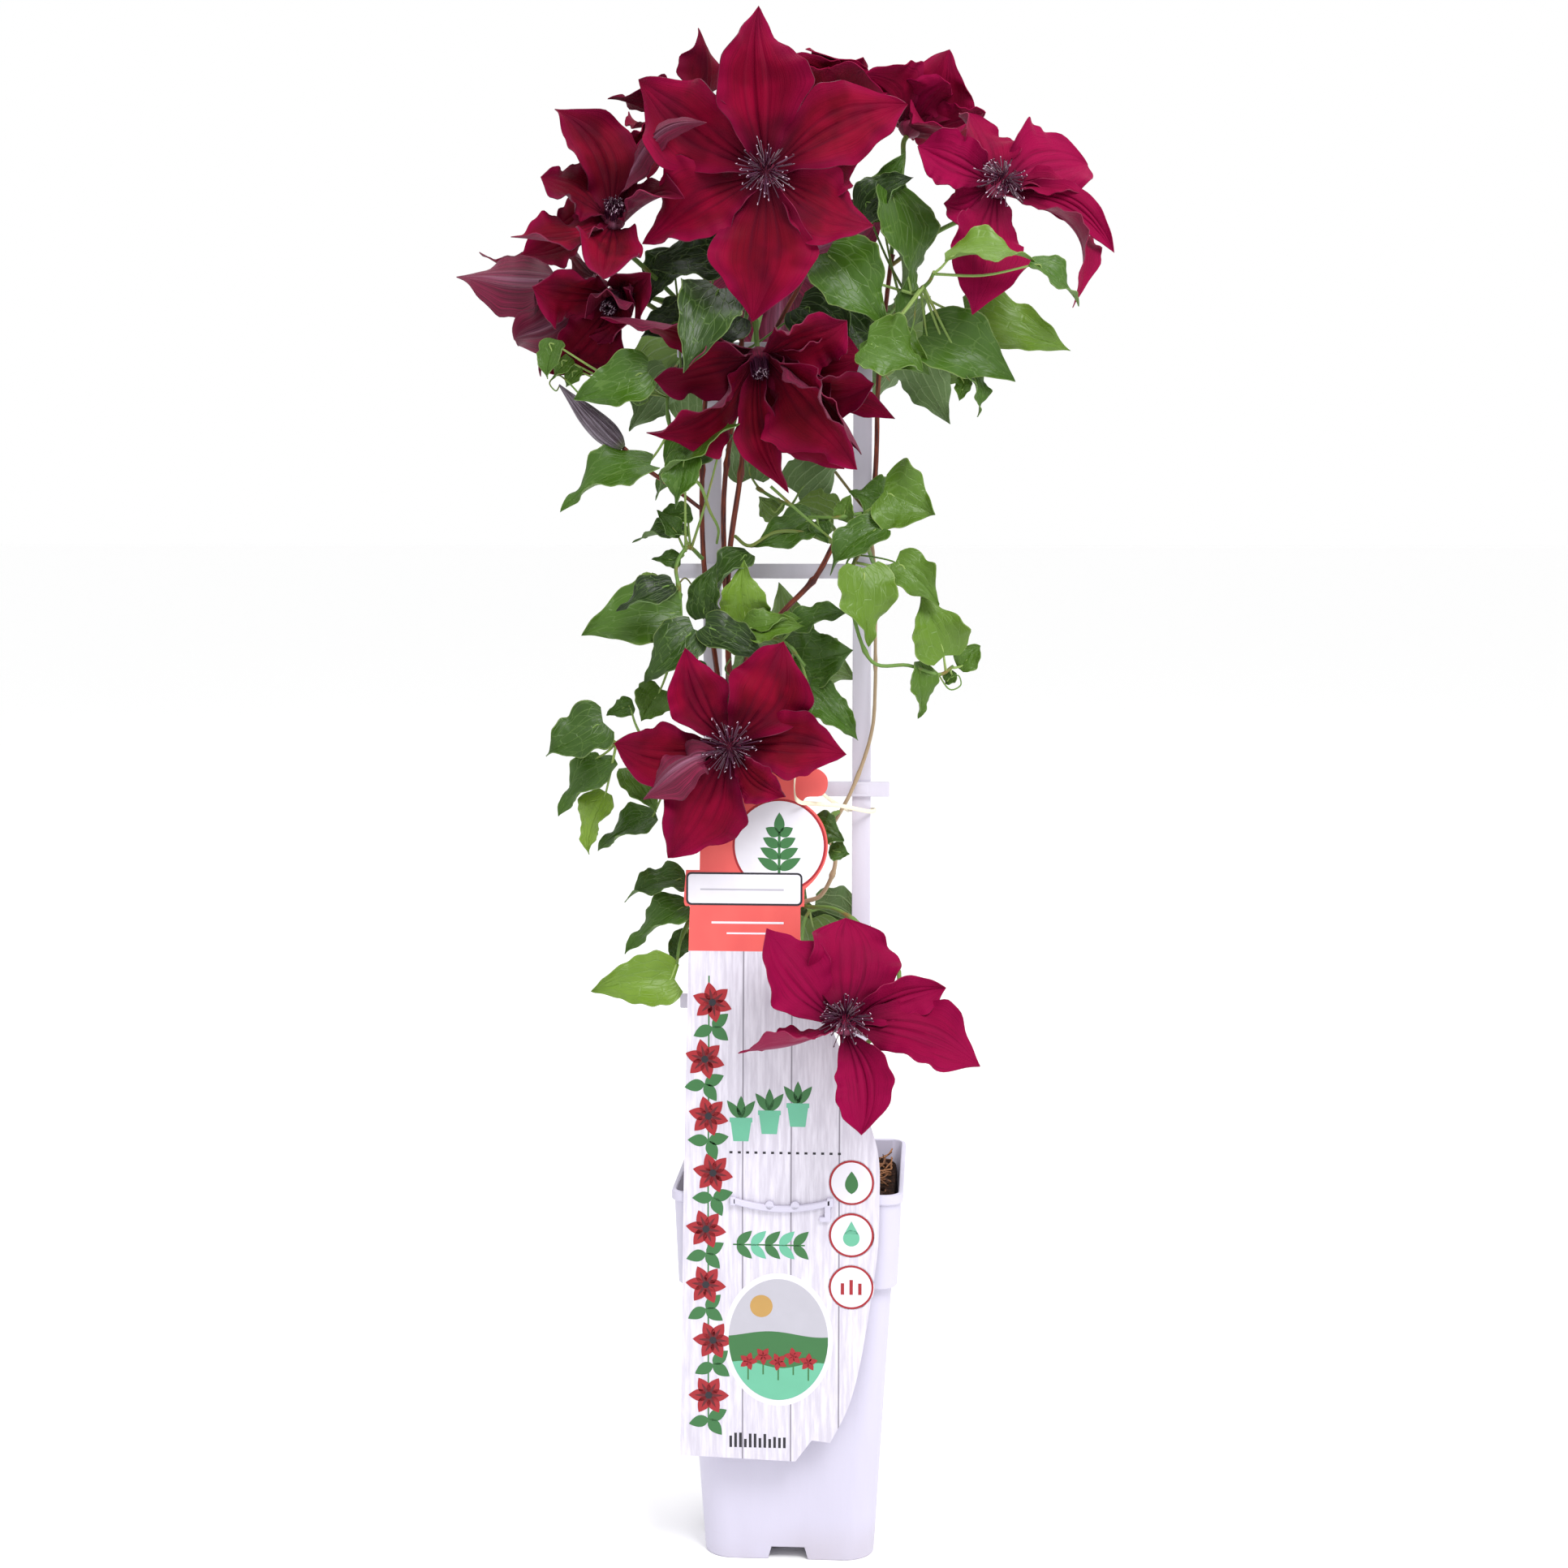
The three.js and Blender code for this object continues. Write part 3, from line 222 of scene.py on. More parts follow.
def petalFace(name):
    look = petalLook
    finish = Finish(name, look["roughness"], Sheen_Weight=0.03, Sheen_Roughness=0.35,
                    Sheen_Tint=look["sheen"], Specular_IOR_Level=0.06)
    x, along = finish.blade()
    across = x * 2 - 1
    tone = finish.tone()
    patches = finish.noise(finish.place(), 55, 2)
    threads = finish.noise(finish.joined(across * 17, along * 1.6, tone * 40), 1.6, 4, 0.6)
    ribs = ribLines(finish, across, 0.07)
    foldsAndPaintedShade = finish.noise(finish.joined(across * 1.3, along * 2.2, tone * 60), 1.1, 2)
    # lighter blotches, partly random tone and partly a painted soft sheen
    skin = finish.mix(finish.step(patches, 0.38, 0.66), look["body"], look["light"])
    # painted shade: darker in the hollows that the same noise sinks in the bump
    skin = finish.mix(finish.step(foldsAndPaintedShade, 0.54, 0.3) * 0.5, skin, look["deep"])
    skin = finish.mix(finish.step(tone, 0.3, 1) * 0.8, skin, look["pink"])
    # paler pink towards the margins and the tip, partly the petal's own colour and partly a painted
    # highlight
    rim = finish.step(abs(across), 0.5, 1.0) * 0.4 + finish.step(along, 0.55, 1.0) * 0.3
    skin = finish.mix(rim, skin, look["pink"])
    skin = finish.mix(finish.step(threads, 0.5, 0.72) * 0.3, skin, look["vein"])
    skin = finish.mix(ribs * finish.step(along, 0.9, 0.25) * 0.34, skin, look["vein"])
    # painted shade: darker towards the base, where the petals crowd round the middle
    skin = finish.mix(finish.step(along, 0.44, 0.02) * 0.7, skin, look["deep"])
    # painted shade: blooms and petals of low tone are darker, standing for those that lie in shade
    skin = finish.mix(finish.step(tone, 0.34, 0.0) * 0.75, skin, look["deep"])
    finish.set("Base Color", skin)
    finish.set("Roughness", look["roughness"] + patches * 0.12)
    grain = finish.noise(finish.place(), 1400, 2)
    finish.bump(threads * 0.8 + grain * 0.12 + foldsAndPaintedShade * 3 - ribs * 0.5, 0.0008, 0.6)
    return finish.material


def petalBack():
    look = petalLook
    finish = Finish("petalBack", 0.6, Sheen_Weight=0.12, Sheen_Roughness=0.4,
                    Sheen_Tint=look["backSheen"], Specular_IOR_Level=0.25)
    x, along = finish.blade()
    across = x * 2 - 1
    tone = finish.tone()
    threads = finish.noise(finish.joined(across * 20, along * 1.4, tone * 40), 1.6, 4, 0.6)
    ribs = ribLines(finish, across, 0.1)
    skin = finish.mix(finish.step(threads, 0.35, 0.7), look["backDeep"], look["backLight"])
    skin = finish.mix(finish.step(tone, 0.5, 0.9) * 0.7, skin, look["pink"])
    middle = finish.step(abs(across), 0.3, 0.0) * 0.4 + ribs * 0.2
    pale = middle * (0.4 + finish.step(threads, 0.3, 0.6) * 0.6) * finish.step(along, 1.1, 0.5)
    skin = finish.mix(pale, skin, look["stripe"])
    finish.set("Base Color", skin)
    finish.bump(threads + ribs * 0.6, 0.0005, 0.6)
    return finish.material


# A leaf's tone runs from 0, dark, to 1, young and bright; the dark tones are partly old leaves and partly
# painted shade on leaves that lie in shade.
leafLook = {
    "dark": colour(15, 31, 6),
    "mid": colour(54, 86, 15),
    "young": colour(112, 142, 44),
    "vein": colour(110, 138, 72),
    "edge": colour(132, 150, 84),
    "back": colour(82, 106, 60),
    "backVein": colour(122, 144, 96),
    "roughness": 0.36,
}


def leafVeins(finish, across, along, spread):
    # 1 on the veins that arch from the base of a leaf to its tip, and on the net between them
    side = abs(across)
    lines = finish.step(side.least(abs(side - 1 / 3)).least(abs(side - 2 / 3)), spread, 0.0)
    cells = finish.joined(across * 3.4, along * 5 - side * 1.6, finish.tone() * 9)
    net = finish.node("TexVoronoi", {"feature": "DISTANCE_TO_EDGE"}, {"Vector": cells, "Scale": 1.0})
    return lines, finish.step(net, 0.06, 0.0)


def leafFace():
    look = leafLook
    finish = Finish("leafFace", look["roughness"], Specular_IOR_Level=0.3)
    x, along = finish.blade()
    across = x * 2 - 1
    tone = finish.tone()
    lines, net = leafVeins(finish, across, along, 0.024)
    patches = finish.noise(finish.place(), 60, 3)
    skin = finish.mix(finish.step(tone, 0.0, 0.5), look["dark"], look["mid"])
    skin = finish.mix(finish.step(tone, 0.5, 1.0), skin, look["young"])
    skin = finish.mix(finish.step(patches, 0.4, 0.75) * 0.3, skin, look["mid"])
    skin = finish.mix(net * 0.22, skin, look["vein"])
    skin = finish.mix(lines * finish.step(along, 1.1, 0.2) * 0.3, skin, look["vein"])
    skin = finish.mix(finish.step(abs(across), 0.96, 0.99) * 0.5, skin, look["edge"])
    finish.set("Base Color", skin)
    finish.set("Roughness", look["roughness"] + patches * 0.1)
    puffed = finish.noise(finish.joined(across * 3, along * 5, tone * 9), 1.2, 2)
    finish.bump(puffed * 1.2 - lines * 0.15 - net * 0.2, 0.001, 0.6)
    return finish.material


def leafBack():
    look = leafLook
    finish = Finish("leafBack", 0.62, Specular_IOR_Level=0.3)
    x, along = finish.blade()
    across = x * 2 - 1
    lines, net = leafVeins(finish, across, along, 0.045)
    skin = finish.mix(finish.step(finish.tone(), 0.2, 1) * 0.6, look["back"], look["young"])
    skin = finish.mix(lines * 0.7 + net * 0.25, skin, look["backVein"])
    finish.set("Base Color", skin)
    finish.bump(lines + net * 0.4, 0.0006, 0.6)
    return finish.material


# A stem's tone: 0 bark, 1 green, 2 dry and pale.
stemLook = {
    "bark": colour(126, 52, 28),
    "dark": colour(66, 24, 26),
    "green": colour(92, 124, 52),
    "young": colour(140, 164, 88),
    "dry": colour(162, 140, 112),
}


def stemFinish():
    look = stemLook
    finish = Finish("stemSkin", 0.5, Specular_IOR_Level=0.4)
    x, along = finish.blade()
    tone = finish.tone()
    streaks = finish.noise(finish.joined(x * 9, along * 0.6, tone * 30), 1.0, 3, 0.6)
    blotches = finish.noise(finish.place(), 90, 3)
    bark = finish.mix(finish.step(streaks, 0.35, 0.65), look["dark"], look["bark"])
    green = finish.mix(finish.step(blotches, 0.5, 0.75) * 0.6, look["green"], look["bark"])
    green = finish.mix(finish.step(tone, 0.78, 1.1), green, look["young"])
    skin = finish.mix(finish.step(tone, 0.35, 0.6), bark, green)
    skin = finish.mix(finish.step(tone, 1.4, 1.6), skin, look["dry"])
    finish.set("Base Color", skin)
    finish.set("Roughness", 0.42 + blotches * 0.3)
    finish.bump(streaks, 0.0005, 0.8)
    return finish.material


stamenLook = {
    "dark": colour(50, 4, 32),
    "light": colour(110, 60, 94),
    "tip": colour(222, 198, 216),
    "base": colour(96, 20, 66),
}


def stamenFinish():
    look = stamenLook
    finish = Finish("stamenSkin", 0.42, Specular_IOR_Level=0.5)
    along = finish.blade()[1]
    tone = finish.tone()
    skin = finish.mix(finish.step(tone, 0, 1), look["dark"], look["light"])
    tip = finish.step(along, 0.76, 0.84) * finish.step(tone, 0.1, 0.3)
    skin = finish.mix(tip, skin, look["tip"])
    skin = finish.mix(finish.step(along, 0.2, 0.0) * 0.5, skin, look["base"])
    finish.set("Base Color", skin)
    finish.bump(finish.noise(finish.place(), 2600, 2), 0.0002, 0.5)
    return finish.material


budLook = {
    "dark": colour(52, 36, 48),
    "down": colour(124, 112, 126),
    "seam": colour(66, 38, 54),
    "base": colour(96, 104, 66),
    "sheen": colour(225, 215, 230),
    "seams": 8,
}


def budFinish():
    look = budLook
    finish = Finish("budSkin", 0.5, Sheen_Weight=0.25, Sheen_Roughness=0.4, Sheen_Tint=look["sheen"])
    x, along = finish.blade()
    threads = finish.noise(finish.joined(x * 42, along * 2.2), 1.0, 4, 0.6)
    seam = finish.step(abs((x * look["seams"]).fraction() - 0.5), 0.42, 0.5)
    skin = finish.mix(finish.step(threads, 0.42, 0.66), look["dark"], look["down"])
    skin = finish.mix(seam * 0.6, skin, look["seam"])
    skin = finish.mix(finish.step(along, 0.16, 0.02) * 0.8, skin, look["base"])
    finish.set("Base Color", skin)
    finish.bump(threads - seam * 0.6, 0.0006, 0.8)
    return finish.material


plasticLook = {
    "pot": colour(192, 188, 206),
    "shade": colour(181, 177, 195),
    "trellis": colour(208, 204, 219),
    "scuff": colour(168, 162, 168),
    "dust": colour(150, 136, 122),
    "roughness": 0.4,
    "dustTop": 26,  # how high the dust reaches
}


def plasticFinish(name, body, shade, mark):
    # moulded plastic: faint flow lines, fine grain, small scuffs and a little dust low down
    look = plasticLook
    finish = Finish(name, look["roughness"], Specular_IOR_Level=0.45)
    x, y, z = finish.axes()
    clouds = finish.noise(finish.place(), 14, 3)
    flow = finish.noise(finish.joined(x * 0.05, y * 0.05, z * 0.008), 1.0, 4, 0.6)
    scuffs = finish.noise(finish.joined(x * 0.02, y * 0.02, z * 0.5), 1.4, 5, 0.7)
    worn = finish.step(scuffs, 0.62, 0.78) * mark
    dust = finish.step(z, look["dustTop"], 0) * finish.step(clouds, 0.4, 0.7)
    skin = finish.mix(finish.step(flow, 0.3, 0.75) * 0.35, body, shade)
    skin = finish.mix(worn * 0.12, skin, look["scuff"])
    skin = finish.mix(dust * 0.25, skin, look["dust"])
    finish.set("Base Color", skin)
    finish.set("Roughness", look["roughness"] + clouds * 0.14 + worn * 0.2)
    grain = finish.noise(finish.place(), 900, 3)
    finish.bump(grain * 0.35 + flow * 0.5, 0.0003, 0.35)
    return finish.material


soilLook = {
    "wet": colour(22, 13, 9),
    "peat": colour(64, 38, 24),
    "fleck": colour(126, 86, 56),
    "darkFibre": colour(52, 26, 14),
    "paleFibre": colour(150, 100, 62),
}


def soilFinish():
    look = soilLook
    finish = Finish("soilCrumb", 0.92, Specular_IOR_Level=0.2)
    coarse = finish.noise(finish.place(), 240, 5, 0.7)
    fibres = finish.noise(finish.place(), 900, 3, 0.7)
    skin = finish.mix(finish.step(coarse, 0.35, 0.65), look["wet"], look["peat"])
    skin = finish.mix(finish.step(fibres, 0.6, 0.75) * 0.5, skin, look["fleck"])
    finish.set("Base Color", skin)
    finish.bump(coarse + fibres * 0.5, 0.002, 1.0)
    return finish.material


def fibreFinish():
    finish = Finish("coirFibre", 0.8)
    skin = finish.mix(finish.tone(), soilLook["darkFibre"], soilLook["paleFibre"])
    finish.set("Base Color", skin)
    finish.bump(finish.noise(finish.place(), 900, 3), 0.0004, 0.6)
    return finish.material


elasticLook = {
    "groove": colour(226, 214, 186),
    "rib": colour(238, 229, 206),
}


def elasticFinish():
    finish = Finish("elastic", 0.55, Specular_IOR_Level=0.4)
    ribs = finish.noise(finish.place(), 700, 2)
    # the grooves between the ribs are painted darker, as painted shade
    finish.set("Base Color", finish.mix(ribs, elasticLook["groove"], elasticLook["rib"]))
    finish.bump(ribs, 0.0003, 0.6)
    return finish.material


class Form:
    # a mesh in the making, with where each point lies on its blade or tube, and its tone
    def __init__(self):
        self.mesh = bmesh.new()
        self.flat = self.mesh.loops.layers.uv.new("blade")
        self.tone = self.mesh.verts.layers.float.new("tone")

    def grid(self, columns, rows, place, tone, material, stretch=1.0):
        # a sheet of squares laid on place(column, row)
        made = bmesh.ops.create_grid(self.mesh, x_segments=columns, y_segments=rows, size=1)
        for vert in made["verts"]:
            x, y = (vert.co.x + 1) / 2, (vert.co.y + 1) / 2
            vert.co = place(round(x * columns), round(y * rows))
            vert[self.tone] = tone
            for loop in vert.link_loops:
                loop[self.flat].uv = (x, y * stretch)
                loop.face.material_index = material
        return made["verts"]

    def tube(self, line, radii, sides, tone, material=0, wobble=0.0, seed=0, stretch=None):
        # a round bar along a line, its ends drawn in to a point
        ahead = [(line[min(i + 1, len(line) - 1)] - line[max(i - 1, 0)]).normalized()
                 for i in range(len(line))]
        side = upward.copy() if abs(ahead[0].z) < 0.9 else Vector((0, 1, 0))
        rings = []
        for point, way, radius in zip(line, ahead, radii):
            side = (side - way * side.dot(way)).normalized()
            rings.append((point, side.copy(), way.cross(side), radius))
        rings = [(*rings[0][:3], 0), *rings, (*rings[-1][:3], 0)]

        def place(column, row):
            point, one, other, radius = rings[row]
            angle = 2 * math.pi * (column % sides) / sides
            radius *= 1 + wobble * (jitter(seed + row, column % sides) - 0.5)
            return point + one * radius * math.cos(angle) + other * radius * math.sin(angle)

        if stretch is None:  # streaks keep their size along a tube of any length
            stretch = sum((b - a).length for a, b in zip(line, line[1:])) / 10
        return self.grid(sides, len(rings) - 1, place, tone, material, stretch)

    def block(self, low, high, edge):
        # a box between two corners with its edges rounded
        size = Vector(high) - Vector(low)
        made = bmesh.ops.create_cube(self.mesh, size=1)["verts"]
        bmesh.ops.scale(self.mesh, vec=size, verts=made)
        bmesh.ops.translate(self.mesh, vec=(Vector(low) + Vector(high)) / 2, verts=made)
        self.softEdges(made, edge)

    def softEdges(self, verts, size):
        # rounds every edge that these points meet
        edges = list(dict.fromkeys(edge for vert in verts for edge in vert.link_edges))
        bmesh.ops.bevel(self.mesh, geom=edges, offset=size, affect="EDGES", segments=2,
                        profile=0.5, material=-1)

    def thicken(self, amount, backMaterial):
        # gives all sheets made so far a back and a rim
        bmesh.ops.remove_doubles(self.mesh, verts=self.mesh.verts, dist=0.004)
        self.mesh.normal_update()
        fronts = list(self.mesh.faces)
        kept = set(fronts)
        bmesh.ops.solidify(self.mesh, geom=fronts, thickness=amount)
        for face in self.mesh.faces:
            if face not in kept:
                face.material_index = backMaterial

    def finish(self, name, node, slot, materials, turned=True, crease=50):
        # smooths the piece but for its sharp edges, turns it with the plant, sets it under the root and
        # hides the CAD part it replaces
        form = self.mesh
        bmesh.ops.remove_doubles(form, verts=form.verts, dist=0.004)
        form.normal_update()
        limit = math.radians(crease)
        for face in form.faces:
            face.smooth = True
        for edge in form.edges:
            edge.smooth = edge.calc_face_angle(0) < limit
        turn = Matrix.Rotation(plantTurn if turned else 0, 4, "Z")
        bmesh.ops.transform(form, matrix=turn @ Matrix.Scale(mm, 4), verts=form.verts)
        data = bpy.data.meshes.new(name)
        form.to_mesh(data)
        form.free()
        for material in materials:
            data.materials.append(material)
        piece = bpy.data.objects.new(name, data)
        bpy.context.scene.collection.objects.link(piece)
        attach(piece, "root")
        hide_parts(node)
        return piece


def frameAt(spec, u):
    # where the middle of a blade runs at a share u of its length, and how it lies there
    chord = spec["tip"] - spec["base"]
    forward = chord.normalized()
    normal = (spec["face"] - forward * spec["face"].dot(forward)).normalized()
    normal = Matrix.Rotation(math.radians(spec["roll"]), 3, forward) @ normal
    side = forward.cross(normal)
    arc = max(math.radians(spec["bend"]), 0.02)  # a blade follows an arc, raised along its normal
    scale = chord.length / (2 * math.sin(arc / 2))
    turn = arc * (0.5 - u)
    along = scale * (math.sin(arc / 2) - math.sin(turn))
    rise = scale * (math.cos(turn) - math.cos(arc / 2))
    spot = spec["base"] + forward * along + normal * rise
    spot += side * spec["sway"] * chord.length * math.sin(math.pi * u)
    ahead = forward * math.cos(turn) + normal * math.sin(turn)
    raised = normal * math.cos(turn) - forward * math.sin(turn)
    twist = Matrix.Rotation(math.radians(spec["twist"] * u + spec["turn"] * min(1, 3 * u)), 3, ahead)
    return spot, ahead, twist @ side, twist @ raised


def outlineShare(spec, u):
    # half width of a blade as a share of its widest half, between its pointed and its blunt outline
    pointed = max(throughStops(spec["outline"], u), 0)
    return between(pointed, max(throughStops(spec["second"], u), 0), spec["blunt"])


def addBlade(form, spec):
    # one petal or leaf, laid as an arched and waved sheet: u along it, v across it from -1 to 1
    rows, columns = spec["rows"], spec["columns"]
    frames = [frameAt(spec, row / rows) for row in range(rows + 1)]
    width, seed = spec["width"], spec["seed"]
    length = (spec["tip"] - spec["base"]).length
    halves = [width / 2 * outlineShare(spec, row / rows) for row in range(rows + 1)]
    tight = 2 * math.pi * between(5, 8, jitter(seed, 21))  # the small waves along an edge
    otherSide = 2.1  # how far the waves of one edge run ahead of the other's
    tipFrom, lobeTo = 0.72, 0.2  # where the curl of the tip begins, and the lobes at the base end

    def place(column, row):
        u, v = row / rows, 2 * column / columns - 1
        spot, ahead, across, raised = frames[row]
        half = halves[row]
        wave = math.sin(2 * math.pi * spec["waves"] * u + spec["phase"] + (otherSide if v > 0 else 0))
        swell = min(1, 4 * u)
        height = half * (spec["cup"] * v * v + spec["fold"] * abs(v) * min(1, 0.3 + 2 * u))
        height += spec["ripple"] * width * wave * v * v * swell * min(1, 4 * (1 - u))
        crimp = math.sin(tight * u + 5 * jitter(seed, 22 if v > 0 else 23))
        height += spec["crimp"] * width * crimp * abs(v) ** 3 * swell * min(1, 3 * (1 - u))
        if round(abs(v) * columns) in spec["grooves"]:
            height -= spec["groove"] * math.sin(math.pi * min(u * 1.15, 1)) ** 0.6
        edge = 1 + spec["notch"] * math.sin(tight * 0.6 * u + v * 2) * abs(v) * swell
        back = spec["lobe"] * length * abs(v) * max(0, 1 - u / lobeTo)
        tip = max(0, (u - tipFrom) / (1 - tipFrom))
        height += spec["curl"] * length * tip * tip
        return spot + across * half * v * edge + raised * height - ahead * back

    form.grid(columns, rows, place, spec["tone"], 0)


# The climbing stems, from the crown up.
stemPaths = {
    "left": [
        (-3, -8, 196), (-10, -9, 225), (-24, -8, 290), (-36, -7, 350), (-42, -6, 410), (-39, -3, 460),
        (-41, -2, 478), (-47, -1, 525), (-49, -1, 563), (-48, -1, 607), (-46, -3, 650), (-52, -9, 676),
    ],
    "middle": [
        (-1, -8, 196), (-6, -8, 240), (-18, -9, 310), (-30, -9, 380), (-35, -8, 440), (-35, -3, 491),
        (-37, -3, 539), (-37, -4, 575), (-33, -4, 610), (-28, -7, 650), (-22, -12, 690),
    ],
    "right": [
        (2, -8, 196), (-2, -9, 260), (-12, -13, 340), (-22, -14, 420), (-26, -9, 470), (-23, -6, 491),
        (-5, -5, 512), (12, -4, 530), (24, -4, 551), (38, -3, 562), (43, -3, 578), (44.5, -2, 601),
        (45, -2, 630), (48, -4, 665), (52, -6, 700),
    ],
    "thin": [
        (4, -8, 196), (8, -7, 250), (6, -6, 310), (2, -7, 349), (15, -7, 358), (22, -8, 372), (22, -8, 384),
        (16, -8, 391), (22, -9, 398), (33, -9, 419), (42, -7, 446), (44, -7, 470), (44, -6, 499),
        (44, -4, 530), (40, -3, 562),
    ],
    "second": [
        (-20, -12, 418), (-33, -12, 470), (-35, -11, 508), (-34, -11, 543), (-28, -11, 585), (-24, -11, 622),
        (-12, -10, 655), (6, -6, 690), (16, -2, 722),
    ],
}
stemTones = {"left": 0.1, "middle": 0.0, "right": 0.2, "thin": 2.0, "second": 0.05}
# Half widths and tones of the stems and stalks. A pair runs from the start to the end.
stemForm = {
    "woody": 1.45,
    "thin": 1.05,
    "taper": (0.3, -0.2),  # what a climbing stem has more at its foot and at its top
    "bloomStalk": (1.15, 1.45),
    "budStalk": (1.05, 1.3),
    "node": 1.55,  # how much thicker a stem is where leaves leave it
    "nodeEvery": 62,
    "nodeReach": 3.2,
    "crown": [(174, 7.2), (186, 8), (196, 7.4), (201, 6), (205, 4.4)],  # height and half width
    "crownTone": 0.1,
    "bloomTone": 0.8,
    "budTone": 0.3,
    "shootsFrom": (1.65, 1.95),  # how far out shoots begin, on the thin stem and on the others
}


def onStem(name, height):
    # the point of a stem at one height
    path = stemPaths[name]
    for a, b in zip(path, path[1:]):
        if (a[2] - height) * (b[2] - height) <= 0 and a[2] != b[2]:
            return Vector(a).lerp(Vector(b), (height - a[2]) / (b[2] - a[2]))
    raise ValueError(name + " does not reach " + str(height))


flowerForm = {
    "seat": 3.9,  # how far out from the middle a petal begins
    "levels": (-2.2, 0.4),  # petals stand on two levels in turn
    "back": 6.3,  # from the middle back to the end of the stalk
    "button": [(-6, 1.6), (-5, 2.4), (-3.4, 4.6), (-1.8, 6), (0.4, 6), (2, 5.2), (3, 3.4)],
}
# Half widths from the base to the tip, as shares. A petal lies between the pointed and the blunt one.
petalOutline = [
    (0, 0.2), (0.12, 0.38), (0.25, 0.66), (0.38, 0.91), (0.48, 1), (0.6, 0.91), (0.73, 0.6), (0.85, 0.3),
    (0.93, 0.13), (1, 0),
]
bluntOutline = [
    (0, 0.2), (0.14, 0.42), (0.32, 0.8), (0.52, 1), (0.7, 0.96), (0.82, 0.74), (0.9, 0.44), (0.96, 0.16),
    (1, 0),
]
petalForm = {
    "rows": 36,
    "columns": 22,
    "thickness": 0.5,
    "cup": 0.2,
    "ripple": 0.15,
    "crimp": 0.035,
    "notch": 0.05,
    "groove": 0.7,
    "grooves": (0, 6),  # in columns from the middle
    "lobe": 0,
    "roll": 0,
}

